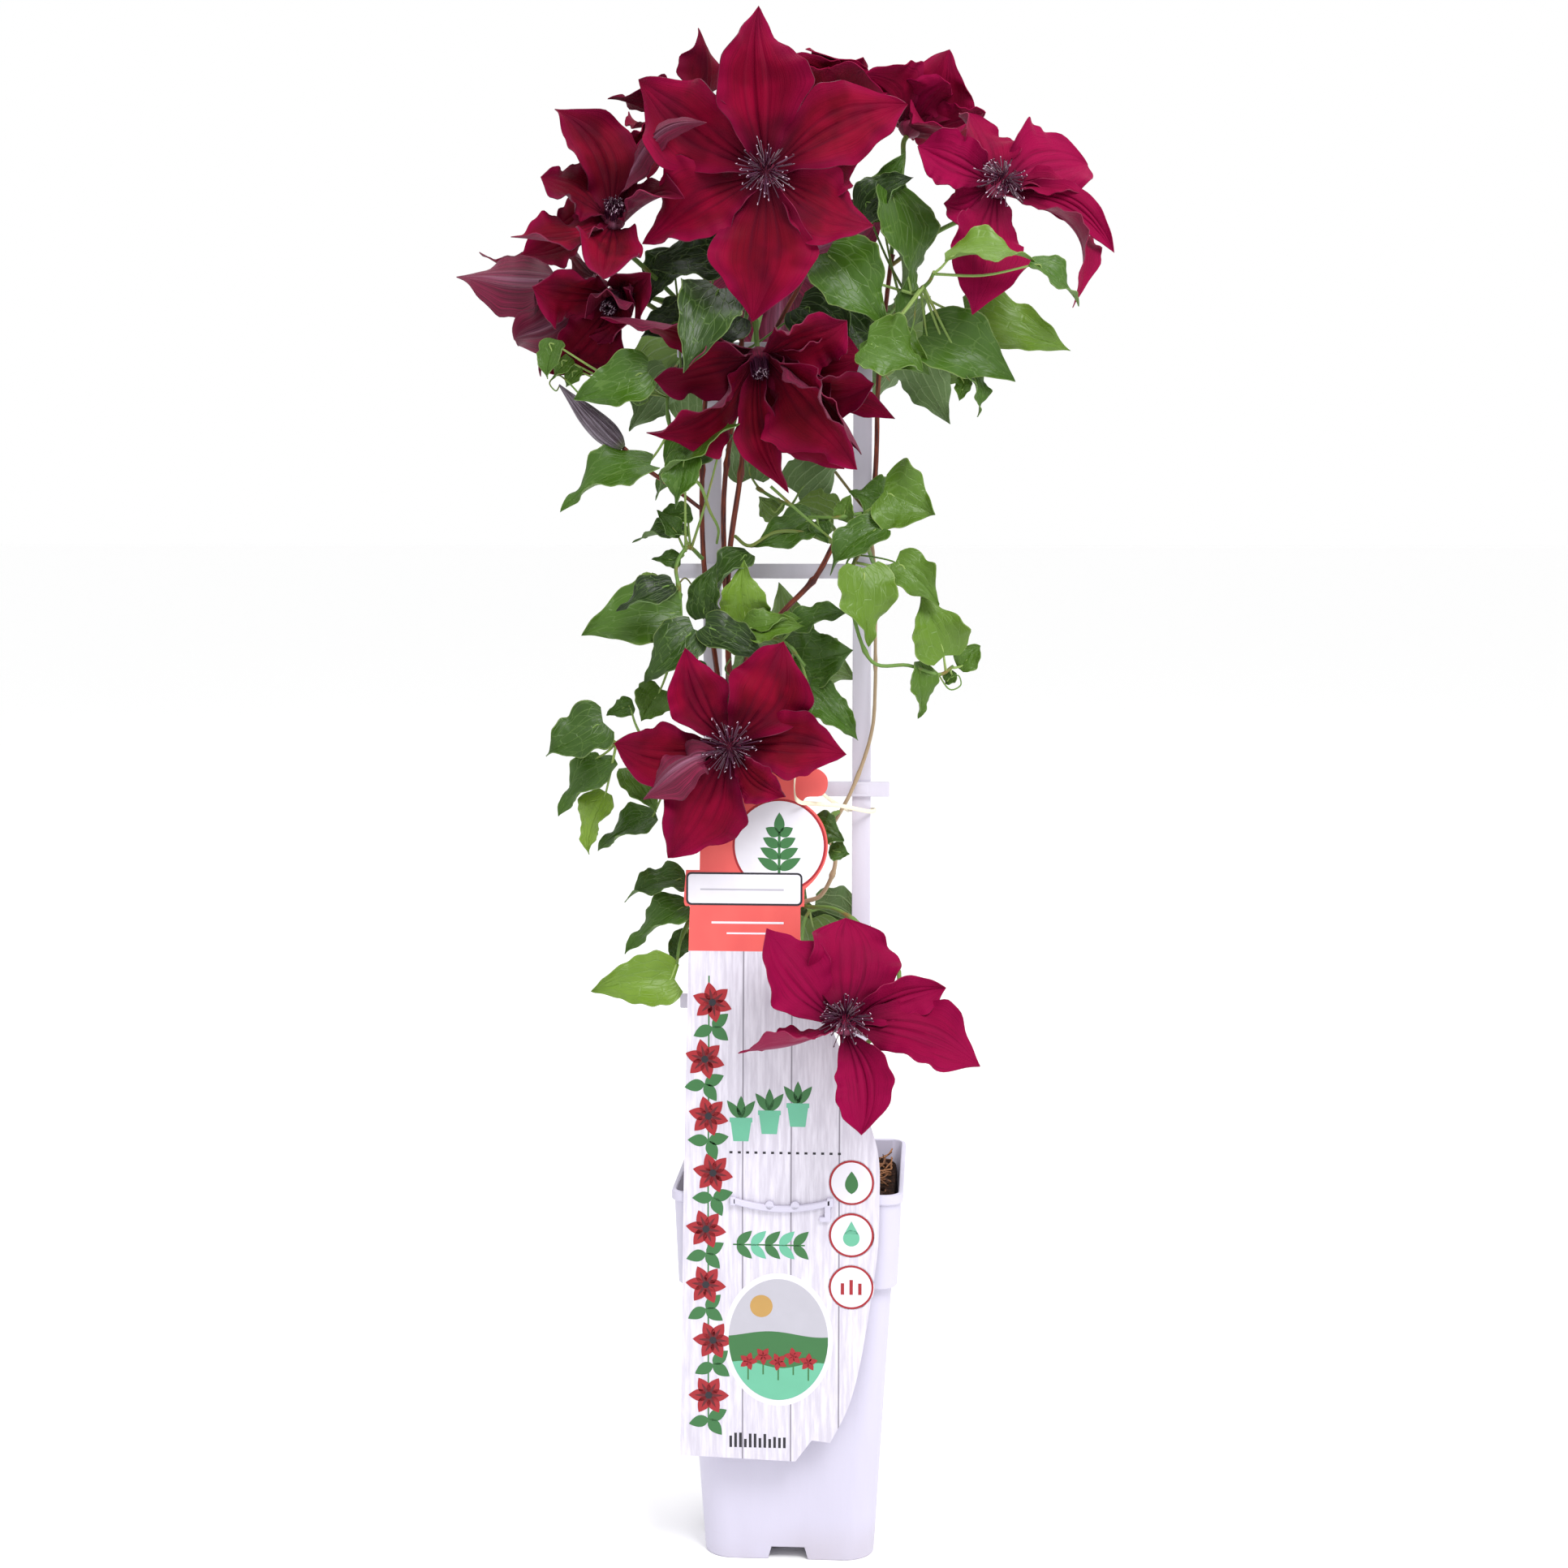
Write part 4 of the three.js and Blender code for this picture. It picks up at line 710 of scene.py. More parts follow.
# A petal: where its tip is from the middle of the flower (x, y, z), width, bend, turn, sway, how blunt
# and how folded it is. The stalk leaves the named stem at a height and runs through the points to the
# back of the flower. The stamens of a flower spread as far as it is open.
flowers = {
    "main": {
        "at": (-14, -75, 733), "axis": (0, -1, 0.08), "seed": 1, "tone": 0.36,
        "stalk": ("middle", 684, [(-20, -34, 708), (-17, -56, 731)]),
        "petals": [
            (-5, 7, 81, 46, 28, 8, -0.04, 0.1, 0.6), (72, 15, 36, 42, 32, 6, -0.07, 0.15, 0.1),
            (52, 12, -26, 40, 26, -12, 0.05, 0.45, 0), (-7, 5, -73, 53, 28, 0, -0.04, 0.15, 0),
            (-61, 17, -34, 44, 32, 12, 0.06, 0.3, 0.1), (-65, 19, 49, 45, 30, -10, -0.06, 0.25, 0.1),
            (49, 31, 15, 40, 18, 0, 0, 0.4, 0), (14, 26, 44, 36, 16, 0, 0.05, 0.3, 0),
        ],
    },
    "right": {
        "at": (104, -45, 730), "axis": (0.35, -0.8, 0.45), "seed": 2, "tone": 0.85,
        "stalk": ("right", 694, [(74, -14, 710), (92, -27, 718)]),
        "petals": [
            (-14, 24, 39, 36, 32, 8, 0, 0.9, 0.2), (50, 30, 16, 42, 24, -8, -0.1, 1, 0),
            (59, -8, -34, 20, 44, 26, -0.16, 0.4, 0.1), (39, -24, -62, 30, 40, -30, -0.3, 0.3, 0.1),
            (-13, -32, -66, 42, 26, 0, 0.02, 0.35, 0.1), (-40, 4, 20, 30, 36, -34, -0.06, 0.6, 0.3),
            (-26, 14, -7, 30, 30, -10, -0.2, 0.3, 0), (45, 0, -4, 16, 24, 6, -0.1, 0.2, 0.1),
        ],
    },
    "left_high": {
        "at": (-92, -50, 713), "axis": (0.1, -0.75, 0.65), "open": 0.42, "seed": 3, "tone": 0.28,
        "stalk": ("left", 664, [(-70, -26, 684), (-86, -40, 698)]),
        "petals": [
            (-30, 8, 57, 38, 40, 0, 0.16, 0.2, 0.2), (-36, -14, 18, 36, 30, 10, 0.08, 0.8, 0),
            (36, -30, 10, 30, 34, -16, -0.06, 0.2, 0.3), (49, -51, 41, 15, 50, 200, -0.2, 0.2, 0.3),
            (-3, -46, -36, 34, 26, 0, 0, 0.5, 0.2), (-50, -22, -11, 30, 30, 14, -0.18, 0.3, 0.1),
            (-29, -2, -6, 36, 30, 0, 0.1, 0.6, 0), (-46, -4, -20, 36, 24, 0, -0.1, 0.4, 0.1),
        ],
    },
    "left_side": {
        "at": (-103, -20, 682), "axis": (-0.9, -0.1, -0.25), "open": 0.3, "seed": 4, "tone": 0.24,
        "stalk": ("left", 664, [(-66, -14, 674), (-88, -18, 680)]),
        "petals": [
            (-72, -6, 7, 42, 28, -40, 0.1, 0.3, 0), (-44, -30, -28, 38, 30, -10, 0.12, 0.4, 0.1),
            (-33, 8, -45, 30, 34, 30, 0.14, 0.2, 0.2), (-63, 14, 19, 34, 24, -30, -0.1, 0.4, 0),
            (-22, 38, 30, 34, 20, 0, 0, 0, 0), (-28, 24, -40, 30, 24, 0, 0, 0.2, 0),
        ],
    },
    "left_low": {
        "at": (-92, -44, 674), "axis": (-0.3, -0.8, -0.5), "open": 0.3, "seed": 5, "tone": 0.14,
        "stalk": ("left", 652, [(-62, -16, 664), (-82, -30, 676)]),
        "petals": [
            (-35, 4, -37, 34, 36, -10, -0.12, 0.3, 0.25), (7, -12, -14, 38, 30, 0, 0.1, 0.9, 0),
            (19, -30, 9, 30, 28, 0, 0, 0.4, 0.3), (-40, -28, 4, 34, 26, 0, 0, 0.6, 0.1),
            (-1, -40, 3, 24, 44, 30, 0, 0.3, 0.5),
        ],
    },
    "back_left": {
        "at": (-57, 15, 764), "axis": (-0.3, 0.35, 0.85),
        "open": 0.5, "seed": 6, "tone": 0.22, "redBack": True,
        "stalk": ("middle", 680, [(-34, -4, 716), (-50, 4, 744)]),
        "petals": [
            (-41, -10, 19, 34, 28, -16, -0.1, 0.2, 0.3), (-33, -12, -8, 34, 28, 10, 0.1, 0.6, 0.2),
            (10, -16, 52, 32, 24, 10, -0.12, 0.6, 0.1), (-34, 44, 14, 34, 22, 0, 0, 0, 0),
            (16, 56, 8, 36, 22, 0, 0, 0, 0), (-24, 46, -14, 34, 22, 0, 0, 0, 0),
            (-28, -26, -14, 36, 26, -10, 0.1, 0.6, 0.1),
        ],
    },
    "back_middle": {
        "at": (14, 20, 770), "axis": (0, 0.35, 0.93),
        "open": 0.5, "seed": 7, "tone": 0.4, "redBack": True,
        "stalk": ("second", 712, [(14, 4, 738)]),
        "petals": [
            (-27, -20, 34, 34, 34, -20, -0.16, 0.5, 0.2), (-22, -30, 30, 26, 60, 24, -0.3, 0.4, 0.1),
            (-6, -26, 38, 28, 56, -16, -0.3, 0.5, 0.1), (23, -44, 23, 34, 30, -40, -0.1, 0.9, 0),
            (2, 56, 30, 38, 22, 0, 0, 0, 0), (-26, 54, 6, 36, 22, 0, 0, 0, 0),
            (28, 53, 2, 36, 22, 0, 0, 0, 0), (23, -18, 32, 28, 30, 0, -0.1, 0.7, 0.2),
        ],
    },
    "back_right": {
        "at": (62, 12, 768), "axis": (0.3, 0.45, 0.75),
        "open": 0.5, "seed": 8, "tone": 0.6, "redBack": True,
        "stalk": ("right", 694, [(54, -4, 728), (58, 4, 748)]),
        "petals": [
            (19, -12, 38, 40, 34, -20, -0.1, 0.3, 0.2), (20, -22, 21, 28, 30, 10, 0.1, 0.3, 0.2),
            (40, -16, 8, 24, 40, 16, -0.2, 0.4, 0.2), (20, 56, 22, 36, 22, 0, 0, 0, 0),
            (42, 44, -6, 34, 22, 0, 0, 0, 0), (-16, 50, 12, 30, 20, 0, 0, 0, 0),
            (15, -36, -6, 34, 26, 10, -0.1, 0.8, 0.1), (-27, -22, 24, 38, 34, 14, -0.1, 0.6, 0.2),
        ],
    },
    "nodding": {
        "at": (-18, -45, 644), "axis": (0.1, -0.6, -0.75), "open": 0.3, "seed": 9, "tone": 0.3,
        "stalk": ("middle", 664, [(-22, -26, 676), (-20, -38, 664)]),
        "petals": [
            (-79, -23, 21, 30, 8, -24, 0.04, 0.3, 0.1), (-57, -14, -40, 36, 34, 0, -0.14, 0.4, 0.3),
            (15, 2, -70, 24, 34, 24, 0.1, 0.3, 0.3), (51, -20, -57, 46, 30, -8, -0.1, 0.2, 0.3),
            (55, -18, -46, 34, 30, 16, -0.12, 0.3, 0.3), (59, -6, -13, 42, 44, 0, 0.16, 0.7, 0.2),
            (71, 20, -27, 26, 26, 0, 0, 0.3, 0), (46, -14, 16, 42, 30, -4, -0.1, 0.6, 0.2),
            (44, 10, -58, 50, 20, 0, 0, 0.5, 0), (-53, -18, -14, 38, 34, 0, 0.12, 0.5, 0.1),
            (55, 9, 0, 46, 24, 0, 0.06, 0.6, 0),
        ],
    },
    "low_left": {
        "at": (-33, -70, 445), "axis": (0.05, -1, 0.05), "seed": 10, "tone": 0.35,
        "stalk": ("middle", 436, [(-34, -30, 446), (-33, -54, 446)]),
        "petals": [
            (-23, 4, 50, 32, 28, 6, -0.1, 0.3, 0.1), (28, 8, 54, 44, 26, 0, 0.1, 0.4, 0.05),
            (59, 8, -4, 36, 28, -6, -0.06, 0.35, 0.1), (29, -6, -25, 22, 36, 24, 0.12, 0.5, 0.2),
            (-32, 4, -60, 44, 26, 0, -0.06, 0.2, 0.1), (-43, -10, -27, 26, 40, 226, 0.12, 0.3, 0.3),
            (-60, 8, 1, 34, 30, 10, -0.14, 0.7, 0.1),
        ],
    },
    "lowest": {
        "at": (26, -85, 303), "axis": (0.05, -0.75, 0.65), "seed": 11, "tone": 0.9,
        "stalk": ("thin", 352, [(28, -22, 350), (56, -40, 322), (40, -64, 290)]),
        "petals": [
            (-41, 6, 47, 38, 28, 0, -0.1, 0.9, 0.1), (2, 22, 53, 48, 24, 6, 0.06, 1, 0),
            (53, 10, 17, 24, 32, 34, -0.05, 0.6, 0.4), (70, -4, -21, 38, 32, 0, -0.08, 0.5, 0.05),
            (9, -22, -52, 30, 30, 10, -0.1, 0.8, 0.3), (-55, -12, -11, 26, 30, 60, -0.1, 0.2, 0.2),
        ],
    },
    "rear": {
        "at": (-6, 90, 706), "axis": (0, 1, 0.1), "seed": 12, "tone": 0.35,
        "stalk": ("middle", 604, [(-28, 10, 628), (-18, 42, 672), (-8, 72, 700)]),
        "petals": [
            (0, 4, 68, 44, 26, 0, 0.04, 0.2, 0), (60, 6, 34, 42, 28, 6, -0.06, 0.3, 0.1),
            (56, 4, -36, 40, 26, -6, 0.05, 0.2, 0), (0, 6, -68, 44, 26, 0, -0.04, 0.3, 0.1),
            (-58, 4, -34, 42, 28, 0, 0.05, 0.2, 0), (-56, 6, 36, 42, 26, 4, -0.05, 0.3, 0.1),
        ],
    },
}


def pieceName(kind, name):
    return kind + "".join(part.capitalize() for part in name.split("_"))


def flowerAxis(flower):
    return Vector(flower["at"]), Vector(flower["axis"]).normalized()


def addPetals(form, flower):
    middle, axis = flowerAxis(flower)
    for i, row in enumerate(flower["petals"]):
        x, y, z, width, bend, turn, sway, blunt, fold = row
        reach = Vector((x, y, z))
        out = (reach - axis * reach.dot(axis)).normalized()
        seed = flower["seed"] * 20 + i
        addBlade(form, {
            **petalForm,
            "base": middle + out * flowerForm["seat"] + axis * flowerForm["levels"][i % 2],
            "tip": middle + reach, "face": axis, "width": width, "bend": bend, "turn": turn,
            "sway": sway, "blunt": blunt, "fold": fold, "outline": petalOutline, "second": bluntOutline,
            "seed": seed, "twist": 36 * (jitter(seed, 1) - 0.5), "waves": 1.1 + 0.9 * jitter(seed, 2),
            "phase": 6.28 * jitter(seed, 3), "curl": 0.16 * (jitter(seed, 4) - 0.5),
            "tone": flower["tone"] + 0.3 * (jitter(seed, 5) - 0.5),
        })


def addButton(form, flower):
    # the base that petals and stamens grow on
    middle, axis = flowerAxis(flower)
    profile = flowerForm["button"]
    line = [middle + axis * along for along, radius in profile]
    form.tube(line, [radius for along, radius in profile], 14, flower["tone"], 1)


stamenForm = {
    "count": 84,
    "sides": 4,
    "seat": 4.9,  # how far out the outer stamens begin
    "roots": (3.8, 2.9),  # how high the inner and the outer ones begin
    "reach": 16,  # how far out the outer ones lean
    "innerReach": 0.14,  # and the inner ones, as a share of it
    "heights": (11, 6.6),  # of the inner and the outer ones
    "heightSpread": 2.6,
    "closedRise": 8,  # how much higher the outer ones stand in a flower that is closed
    "drift": 2.2,  # how far the tips stray to a side
    "hook": 1.6,  # and curl up
    "radius": 0.27,
    "shape": [1, 0.9, 0.84, 0.82, 0.9, 1.05, 1.1, 0.9, 0.4],  # half widths along a stamen, as shares
    "angle": 2.39996,  # from one stamen to the next, which fills a round evenly
    "tuft": 14,  # how many of them stand in the middle tuft
}


def addStamens(form, flower):
    # the crown of stamens: a tuft in the middle, and longer ones that lean further out
    s = stamenForm
    middle, axis = flowerAxis(flower)
    opened = flower.get("open", 1)
    side = Vector((0.3, 0.2, 0.9)).cross(axis).normalized()
    other = axis.cross(side)
    for k in range(s["count"]):
        seed = flower["seed"] * 100 + k
        angle = k * s["angle"] + 0.5 * jitter(seed, 1)
        out = side * math.cos(angle) + other * math.sin(angle)
        share = math.sqrt((k + 0.5) / s["count"])
        tuft = k < s["tuft"]
        seat = s["seat"] * share
        root = middle + out * seat + axis * between(*s["roots"], share)
        reach = s["reach"] * between(s["innerReach"], 1, share) * (0.74 + 0.36 * jitter(seed, 2)) * opened
        high = between(*s["heights"], share) + s["heightSpread"] * (jitter(seed, 3) - 0.5)
        high += s["closedRise"] * (1 - opened) * share
        bow = middle + out * (seat + (reach - seat) * 0.35) + axis * high * 0.95
        tip = middle + out * reach + axis * high * between(1, 0.84, share)
        drift = out.cross(axis) * s["drift"] * (jitter(seed, 6) - 0.5)
        hook = tip + drift - out * 0.8 * share + axis * s["hook"] * (0.3 + jitter(seed, 4))
        line = smoothLine([root, root.lerp(bow, 0.55) + axis * 0.8, bow, tip, hook], 2)
        radius = s["radius"] * (0.8 if tuft else 1)
        tone = 0.12 if tuft else 0.45 * jitter(seed, 5)
        form.tube(line, [radius * part for part in s["shape"]], s["sides"], tone, stretch=1)


# a petal's upper side, its back, and the red back of the crowded flowers at the top
petalMaterials = [petalFace("petalFace"), petalBack(), petalFace("petalRedBack")]
stamenMaterial = stamenFinish()
for name, flower in flowers.items():
    petals = Form()
    addPetals(petals, flower)
    petals.thicken(petalForm["thickness"], 2 if "redBack" in flower else 1)
    addButton(petals, flower)
    petals.finish(pieceName("petals", name), "flower_" + name, "petal", petalMaterials)
    stamens = Form()
    addStamens(stamens, flower)
    stamens.finish(pieceName("stamens", name), "stamens_" + name, "stamen", [stamenMaterial])
print("flowers:", len(flowers))


budForm = {
    "at": (-88.5, -40, 598),
    "tip": (-121, -45, 630),
    "stalk": ("left", 566, [(-64, -22, 578), (-78, -34, 588)]),
    "seed": 30,
    "sides": 32,
    "rings": 26,
    "widths": [(0, 1.6), (4, 4.4), (12, 6.4), (25, 5.2), (36, 2.6)],  # half widths from the stalk on
    "tipWidth": 0.4,
    "bow": 0.96,
}


def addBud(form):
    # a closed bud, pointed at its tip and turned a little along its length
    start, end = Vector(budForm["at"]), Vector(budForm["tip"])
    axis = (end - start).normalized()
    length = (end - start).length
    profile = [*budForm["widths"], (length, budForm["tipWidth"])]
    side = upward.cross(axis).normalized()
    other = axis.cross(side)
    sides, count = budForm["sides"], budForm["rings"]

    def place(column, row):
        u = min(max(row - 1, 0) / (count - 2), 1)
        radius = 0 if row in (0, count) else throughStops(profile, u * length)
        angle = 2 * math.pi * (column % sides) / sides + 0.5 * u
        seam = abs((column % sides / sides * budLook["seams"]) % 1 - 0.5)
        radius *= 1.04 - 0.13 * max(0, seam - 0.2) / 0.3  # shallow furrows along the seams
        point = start + axis * u * length - other * budForm["bow"] * math.sin(math.pi * u)
        return point + side * radius * math.cos(angle) + other * radius * math.sin(angle)

    form.grid(sides, count, place, 0.5, 0)


bud = Form()
addBud(bud)
bud.finish("closedBud", "bud", "bud", [budFinish()])


def stemRadii(line, start, end, seed):
    # a stem thins towards its end and swells where leaves leave it
    run, radii = 0.0, []
    for i, point in enumerate(line):
        run += (point - line[i - 1]).length if i else 0
        base = between(start, end, i / (len(line) - 1))
        place = (run / stemForm["nodeEvery"] + jitter(seed, 7)) % 1
        swell = max(0, 1 - abs(place - 0.5) * stemForm["nodeEvery"] / stemForm["nodeReach"])
        radii.append(base * (1 + (stemForm["node"] - 1) * swell * swell * (3 - 2 * swell)))
    return radii


def addStems(form):
    crown = stemForm["crown"]
    line = [Vector((0, -8, z)) for z, radius in crown]
    form.tube(line, [radius for z, radius in crown], 16, stemForm["crownTone"], wobble=0.2, seed=5)
    more, less = stemForm["taper"]
    for k, (name, path) in enumerate(stemPaths.items()):
        radius = stemForm["thin"] if name == "thin" else stemForm["woody"]
        line = smoothLine(path, 9)
        form.tube(line, stemRadii(line, radius + more, radius + less, k), 10, stemTones[name],
                  wobble=0.1, seed=k)
    for k, flower in enumerate(flowers.values()):
        stem, height, through = flower["stalk"]
        middle, axis = flowerAxis(flower)
        end = middle - axis * flowerForm["back"]
        line = smoothLine([onStem(stem, height), *through, end - axis * 5, end], 8)
        radii = stemRadii(line, *stemForm["bloomStalk"], k + 9)
        form.tube(line, radii, 9, stemForm["bloomTone"], wobble=0.06, seed=k + 9)
    start = Vector(budForm["at"])
    end = start - (Vector(budForm["tip"]) - start).normalized() * 0.3
    stem, height, through = budForm["stalk"]
    line = smoothLine([onStem(stem, height), *through, end], 8)
    radii = stemRadii(line, *stemForm["budStalk"], budForm["seed"])
    form.tube(line, radii, 9, stemForm["budTone"])


stemMaterial = stemFinish()
stems = Form()
addStems(stems)
stems.finish("woodyStems", "stems", "stem", [stemMaterial])
print("bud and stems")


leafOutline = [
    (0, 0.5), (0.04, 0.72), (0.12, 0.92), (0.24, 1), (0.36, 0.95), (0.5, 0.8), (0.64, 0.6), (0.8, 0.32),
    (0.9, 0.14), (0.96, 0.05), (1, 0),
]
shoulderOutline = [
    (0, 0.5), (0.05, 0.8), (0.14, 0.98), (0.26, 0.98), (0.38, 0.88), (0.48, 0.9), (0.58, 0.68), (0.7, 0.4),
    (0.83, 0.2), (0.93, 0.07), (1, 0),
]
smallOutline = [(0, 0.25), (0.12, 0.62), (0.35, 1), (0.55, 0.82), (0.78, 0.4), (0.92, 0.12), (1, 0)]
leafForm = {
    "rows": 30,
    "columns": 18,
    "thickness": 0.45,
    "cup": 0.08,
    "ripple": 0.14,
    "crimp": 0.02,
    "notch": 0.05,
    "groove": 0.25,
    "grooves": (0, 6, 12),
    "fold": 0.26,
    "turn": 0,
    "lobe": 0.07,
    "slim": 0.6,  # the least width of a leaf, as a share of its length
    "small": 18,  # below this width a leaf is a leaflet, without lobes
    "shoot": 1.15,  # half width of a shoot
    "petiole": 0.8,  # half width of a leaf stalk
    "joint": 2.5,  # how far up the leaf its stalk meets it
}

# Each shoot leaves a stem at a height and runs through its points.
# A leaf: base, tip, width from the front. The tones are given leaf by leaf, the darker ones partly as
# painted shade; a shoot without them draws them.
shoots = {
    "top_right": {
        "from": ("right", 668), "seed": 100, "tone": 0.25,
        "path": [(58, -22, 676), (64, -42, 678), (68, -66, 680), (70, -80, 684)],
        "tones": (0.5, 0.36, 0.34, 0.15, 0.46, 0.6, 0.68, 0.42, 0.7),
        "leaves": [
            (17, -45, 697, 48, -47, 658, 38), (51, -30, 728, 53, -34, 664, 30),
            (46, -14, 716, 58, -16, 751, 26), (36, -26, 720, 62, -30, 737, 22),
            (66, -50, 655, 114, -54, 631, 37), (40, -55, 654, 70, -58, 634, 28),
            (75, -86, 690, 121, -88, 689, 15), (117, -89, 688, 143, -84, 667, 14),
            (89, -35, 667, 144, -38, 648, 32),
        ],
    },
    "top_left": {
        "from": ("left", 640), "seed": 120, "tone": 0.3,
        "path": [(-54, -16, 640), (-62, -24, 636), (-66, -30, 622), (-64, -30, 604)],
        "tones": (0.08, 0.22, 0.52, 0.12, 0.55, 0.5, 0.5),
        "leaves": [
            (-37, -35, 698, -75, -30, 690, 30), (-38, -54, 678, -55, -82, 634, 34),
            (-75, -56, 636, -113, -54, 622, 28), (-57, -35, 661, -79, -35, 663, 21),
            (-121, -60, 652, -126, -60, 632, 15), (-74, -52, 589, -121, -54, 565, 19),
            (-38, -20, 608, -74, -4, 574, 26),
        ],
    },
    "upper_left": {
        "from": ("left", 540), "seed": 140, "tone": 0.4,
        "path": [(-56, -14, 546), (-62, -22, 536), (-60, -28, 522), (-60, -24, 500), (-66, -22, 484)],
        "tones": (0.55, 0.4, 0.34, 0.3, 0.1, 0.52, 0.2, 0.55, 0.6),
        "leaves": [
            (-56, -44, 594, -62, -46, 566, 20), (-54, -12, 564, -74, -12, 559, 12),
            (-56, -13, 554, -86, -14, 549, 11), (-60, -12, 539, -76, -12, 540, 10),
            (-62, -25, 525, -97, -27, 508, 15), (-60, -31, 512, -112, -36, 500, 38),
            (-52, -44, 504, -79, -47, 476, 26), (-58, -16, 495, -58, -18, 476, 12),
            (-70, -22, 471, -81, -24, 454, 22),
        ],
    },
    "mid_left": {
        "from": ("left", 430), "seed": 160, "tone": 0.35,
        "path": [(-54, -18, 440), (-70, -26, 446), (-84, -30, 448), (-96, -32, 442)],
        "tones": (0.26, 0.4, 0.5, 0.45, 0.92, 0.45, 0.62, 0.2),
        "leaves": [
            (-100, -40, 455, -131, -42, 438, 31), (-85, -22, 463, -100, -20, 457, 11),
            (-103, -26, 436, -115, -24, 428, 9), (-94, -32, 434, -126, -30, 404, 15),
            (-99, -32, 417, -110, -30, 383, 15), (-73, -25, 404, -106, -22, 385, 15),
            (-87, -38, 431, -72, -40, 407, 19), (-68, -18, 442, -60, -16, 417, 22),
        ],
    },
    "low_left": {
        "from": ("left", 345), "seed": 180, "tone": 0.5,
        "path": [(-46, -12, 350), (-54, -22, 350), (-60, -32, 338), (-62, -38, 326)],
        "tones": (0.36, 0.4, 0.3, 0.85),
        "leaves": [
            (-57, -28, 370, -91, -30, 359, 17), (-56, -33, 357, -90, -36, 331, 17),
            (-56, -22, 342, -66, -20, 323, 13), (-63, -40, 318, -108, -44, 312, 29),
        ],
    },
    "mid_right": {
        "from": ("second", 500), "seed": 200, "tone": 0.5,
        "path": [(-30, -24, 502), (-18, -30, 500), (-4, -32, 496), (6, -34, 484)],
        "tones": (0.42, 0.32, 0.72, 0.75, 0.18, 0.14, 0.46),
        "leaves": [
            (-3, -22, 487, 32, -24, 492, 37), (-1, -32, 505, 30, -34, 513, 15),
            (-27, -42, 504, 6, -44, 506, 16), (-25, -32, 508, -26, -34, 540, 26),
            (-47, -28, 509, -40, -30, 539, 19), (-46, -45, 506, -13, -48, 489, 21),
            (8, -32, 471, 35, -34, 445, 22),
        ],
    },
    "upper_right": {
        "from": ("right", 558), "seed": 220, "tone": 0.6,
        "path": [(34, -16, 562), (36, -26, 564), (24, -28, 562), (8, -22, 562)],
        "tones": (0.64, 0.5, 0.4, 0.34),
        "leaves": [
            (47, -32, 575, 74, -36, 563, 37), (50, -16, 567, 29, -18, 576, 27),
            (45, -38, 557, 18, -40, 532, 21), (9, -22, 561, -23, -24, 546, 20),
        ],
    },
    "inner_right": {
        "from": ("right", 552), "seed": 230, "tone": 0.5,
        "path": [(18, 14, 560), (4, 18, 566), (-10, 20, 572), (-20, 22, 578)],
        "tones": (0.3, 0.8, 0.7, 0.28),
        "leaves": [
            (2, 20, 575, 28, 22, 596, 31), (22, 16, 561, -1, 18, 569, 24),
            (-8, 20, 563, -19, 20, 573, 15), (-23, 22, 583, -25, 24, 620, 27),
        ],
    },
    "trailing_right": {
        "from": ("thin", 538), "seed": 240, "tone": 0.7,
        "path": [
            (38, -24, 546), (30, -42, 534), (31, -45, 512), (41, -44, 487), (60, -42, 485), (76, -38, 480),
            (84, -34, 484),
        ],
        "tones": (0.66, 0.72, 0.68, 0.6, 0.62, 0.55),
        "leaves": [
            (36, -55, 536, 39, -57, 495, 32), (53, -45, 539, 76, -48, 516, 23),
            (79, -42, 490, 66, -40, 522, 30), (65, -40, 487, 66, -38, 456, 12),
            (88, -32, 482, 99, -30, 495, 15), (85, -32, 481, 80, -30, 474, 8),
        ],
    },
    "low_right": {
        "from": ("thin", 404), "seed": 260, "tone": 0.3,
        "path": [(20, -18, 402), (20, -24, 396)],
        "tones": (0.3, 0.36),
        "leaves": [(10, -30, 398, 27, -33, 391, 20), (19, -28, 386, 30, -30, 384, 12)],
    },
    "rear_left": {
        "from": ("left", 626), "seed": 280, "tone": 0.35,
        "path": [(-62, 4, 634), (-64, 22, 642), (-58, 40, 650)],
        "leaves": [
            (-62, 38, 652, -98, 50, 634, 34), (-54, 46, 654, -32, 62, 620, 32),
            (-68, 26, 640, -90, 20, 608, 28), (-56, 40, 642, -54, 54, 600, 30),
        ],
    },
    "rear_right": {
        "from": ("right", 636), "seed": 300, "tone": 0.35,
        "path": [(58, 4, 644), (62, 22, 650), (56, 40, 656)],
        "leaves": [
            (62, 36, 656, 98, 46, 636, 34), (54, 44, 654, 34, 60, 616, 32),
            (66, 26, 648, 86, 30, 612, 28), (58, 42, 662, 76, 62, 684, 30),
        ],
    },
    "rear_middle": {
        "from": ("right", 480), "seed": 320, "tone": 0.45,
        "path": [(-18, 12, 482), (-6, 26, 484), (2, 30, 482)],
        "leaves": [
            (-8, 28, 486, -40, 42, 466, 34), (4, 32, 482, 36, 40, 472, 34), (0, 32, 478, 4, 46, 440, 32),
            (-4, 30, 490, -8, 40, 526, 30),
        ],
    },
    "rear_low": {
        "from": ("thin", 330), "seed": 340, "tone": 0.5,
        "path": [(6, 14, 340), (10, 24, 346)],
        "leaves": [
            (12, 26, 346, 44, 34, 334, 32), (8, 28, 350, -20, 38, 340, 32),
            (10, 26, 340, 14, 40, 306, 30),
        ],
    },
}


